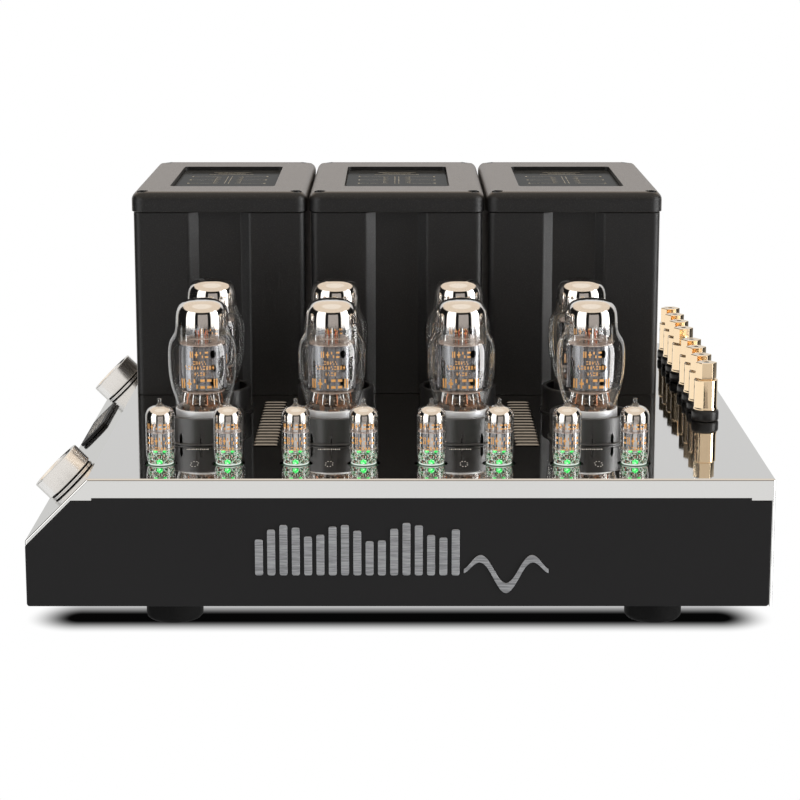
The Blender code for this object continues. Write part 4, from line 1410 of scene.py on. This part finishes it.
def floor_shade(r):
    """White floor with a soft contact shade in front and behind."""
    x, y, _ = r.split(r.add("TexCoord", output="Object"))

    def inward(value, low, high):
        """Distance from the nearer side of the body. Minus is outside it."""
        return r.minus((high - low) * MM / 2, r.maths("ABSOLUTE", r.minus(value, (low + high) * MM /
            2)))

    def fade(rise, reach):
        return r.maths("DIVIDE", rise, reach * MM)
    darkest, end_start = 40 * MM, 32 * MM
    along, across = inward(x, LEFT, RIGHT), inward(y, FRONT, BACK)
    end = r.maths("MAXIMUM", fade(r.minus(end_start, along), 40), 0.0)
    reach = r.maths("MAXIMUM", fade(r.minus(darkest, across), 36), fade(r.minus(across, darkest),
        45))
    away = r.maths("SQRT", r.maths("ADD", r.times(reach, reach), r.times(end, end)))
    dark = r.smooth(away, 0.2, 1.0, 1.0, 0.0)
    white = r.add("Emission", {"Color": r.mix(dark, WHITE, (0.002, 0.002, 0.002))})
    return r.blend(r.add("LightPath", output="Is Camera Ray"), r.add("BsdfTransparent"), white)


def build_floor():
    """Floor that only the camera sees."""
    bm = bmesh.new()
    bmesh.ops.create_grid(bm, x_segments=1, y_segments=1, size=FLOOR_HALF)
    make("floor", bm, [new_material("floor", floor_shade)])


def build_card(name, corners, masks, colour, strength):
    """Lit flat card. Only reflections see it, and only where all masks of a ray pass."""
    def look(r):
        incoming = r.add("NewGeometry", output="Incoming")
        mask = r.times(*masks(r, incoming), r.add("LightPath", output="Is Glossy Ray"))
        light = r.add("Emission", {"Color": colour, "Strength": strength})
        return r.blend(mask, r.add("BsdfTransparent"), light)
    bm = bmesh.new()
    bm.faces.new([bm.verts.new(corner) for corner in corners])
    card = make(name, bm, [new_material(name, look)])
    card.visible_camera = False


def build_side_card():
    """Cream card beside the terminals, seen by light that leaves them to the left."""
    def masks(r, incoming):
        parts = r.split(incoming)
        return r.smooth(parts["X"], 0.30, 0.45), r.smooth(parts["Z"], 0.02, 0.06)
    x = (extent("transformer_cover_right")[1].x + centre("terminal_nut_1").x) / 2
    front, back = centre("terminal_nut_1").y - 30, centre("terminal_nut_8").y + 30
    low, high = PLATE + 2, PLATE + 90
    build_card("terminal_card", [(x, front, low), (x, back, low), (x, back, high), (x, front,
        high)], masks, (1, 0.97, 0.93), 1.05)


def build_front_card(name, y, left, right, low, high, floor, edge, colour, strength):
    """Card in front of the knobs or the terminals, seen by light that starts on them.

    They lie above the floor and, in X, on the far side of the edge from first to last.
    """
    def masks(r, incoming):
        reach = r.add("VectorMath", {0: incoming, "Scale": r.add("LightPath", output="Ray Length")},
            operation="SCALE")
        start = r.add("VectorMath", {0: r.add("NewGeometry", output="Position"), 1: reach},
            operation="ADD")
        start_x, start_y, start_z = r.split(start)
        return (r.smooth(start_x, edge[0] * MM, edge[1] * MM), r.smooth(start_y, (FRONT + 30) * MM,
            (FRONT + 34) * MM), r.smooth(start_z, (floor - 1) * MM, floor * MM),
            r.smooth(r.split(incoming)["Y"], 0.1, 0.2))
    build_card(name, [(left, y, low), (right, y, low), (right, y, high), (left, y, high)], masks,
        colour, strength)


def build_front_cards():
    for where in ("front", "back"):
        build_front_card(f"knob_card_{where}", centre(f"control_knob_{where}").y - 60, LEFT - 200,
            LEFT + 120, -100, PLATE + 60, 0, (LEFT + 56, LEFT + 52), WARM_WHITE, 0.85)
    build_front_card("terminal_front_card", FRONT + 60, RIGHT - 250, RIGHT + 200, -200, PLATE + 300,
        PLATE + 2, (RIGHT - 52, RIGHT - 48), (1, 0.95, 0.90), 0.72)


def build_world():
    """Studio light by direction: azimuth 0 is the camera's side, in degrees, right is plus."""
    world = bpy.data.worlds.new("studio")
    world.use_nodes = True
    bpy.context.scene.world = world
    r = Recipe(world.node_tree)
    x, y, z = r.split(r.add("TexCoord", output="Generated"))
    degrees = 180 / pi
    turn = r.times(r.maths("ARCTAN2", x, r.times(y, -1.0)), degrees)
    azimuth = r.maths("ABSOLUTE", turn)
    height = r.times(r.maths("ARCSINE", z), degrees)
    behind = r.smooth(azimuth, 126, 132)
    below = r.smooth(height, -32, -42)
    walls = r.band(height, -42, 42, 3)
    areas = ((WHITE, 0.012, r.smooth(height, -91, -90)), ((1, 1, 0.98), 0.66, behind), (WHITE, 0.78,
        behind, r.smooth(height, 1, 4)), (WHITE, 1.0, behind, r.smooth(height, 24, 30)),
        (WHITE, 2.2, r.band(turn, -70, -28, 2), walls), (WHITE, 1.6, r.band(turn, 44, 66, 2),
        walls), (WHITE, 9.0, r.band(turn, 64, 82, 1), r.band(height, -30, 42, 3)),
        ((1, 0.93, 0.89), 0.48, r.band(turn, -14, 30, 1.5), r.band(height, -13, 17, 0.4)),
        (WHITE, 1.0, r.smooth(height, -12.8, -13.2), r.smooth(azimuth, 43, 40)), ((1, 0.86, 0.71),
        0.95, r.smooth(height, 27, 32)), ((1, 0.92, 0.82), 1.1, r.smooth(height, 58, 66)),
        (WHITE, 0.3, below), (WHITE, 0.9, below, r.smooth(turn, -60, -75)))
    light = (0, 0, 0)
    for colour, strength, *masks in areas:
        light = r.mix(r.times(*masks), light, tuple(strength * channel for channel in colour))
    colour = r.mix(r.add("LightPath", output="Is Camera Ray"), light, WHITE)
    r.finish(r.add("Background", {"Color": colour, "Strength": 1.0}), "OutputWorld")


def build_studio():
    scene = bpy.context.scene
    scene.view_settings.view_transform = "Standard"
    scene.cycles.transparent_max_bounces = 32
    build_world()
    build_floor()
    build_side_card()
    build_front_cards()
    build_camera()


build_chassis()
build_louvres()
build_fascia()
build_feet()
build_covers()
build_lids()
build_collars()
build_power_tubes()
build_driver_tubes()
build_plate_marks()
build_terminals()
build_knobs()
build_badge()
build_emblem()
build_input_panel()
build_mains_inlet()
finish_cad_nodes()
build_studio()
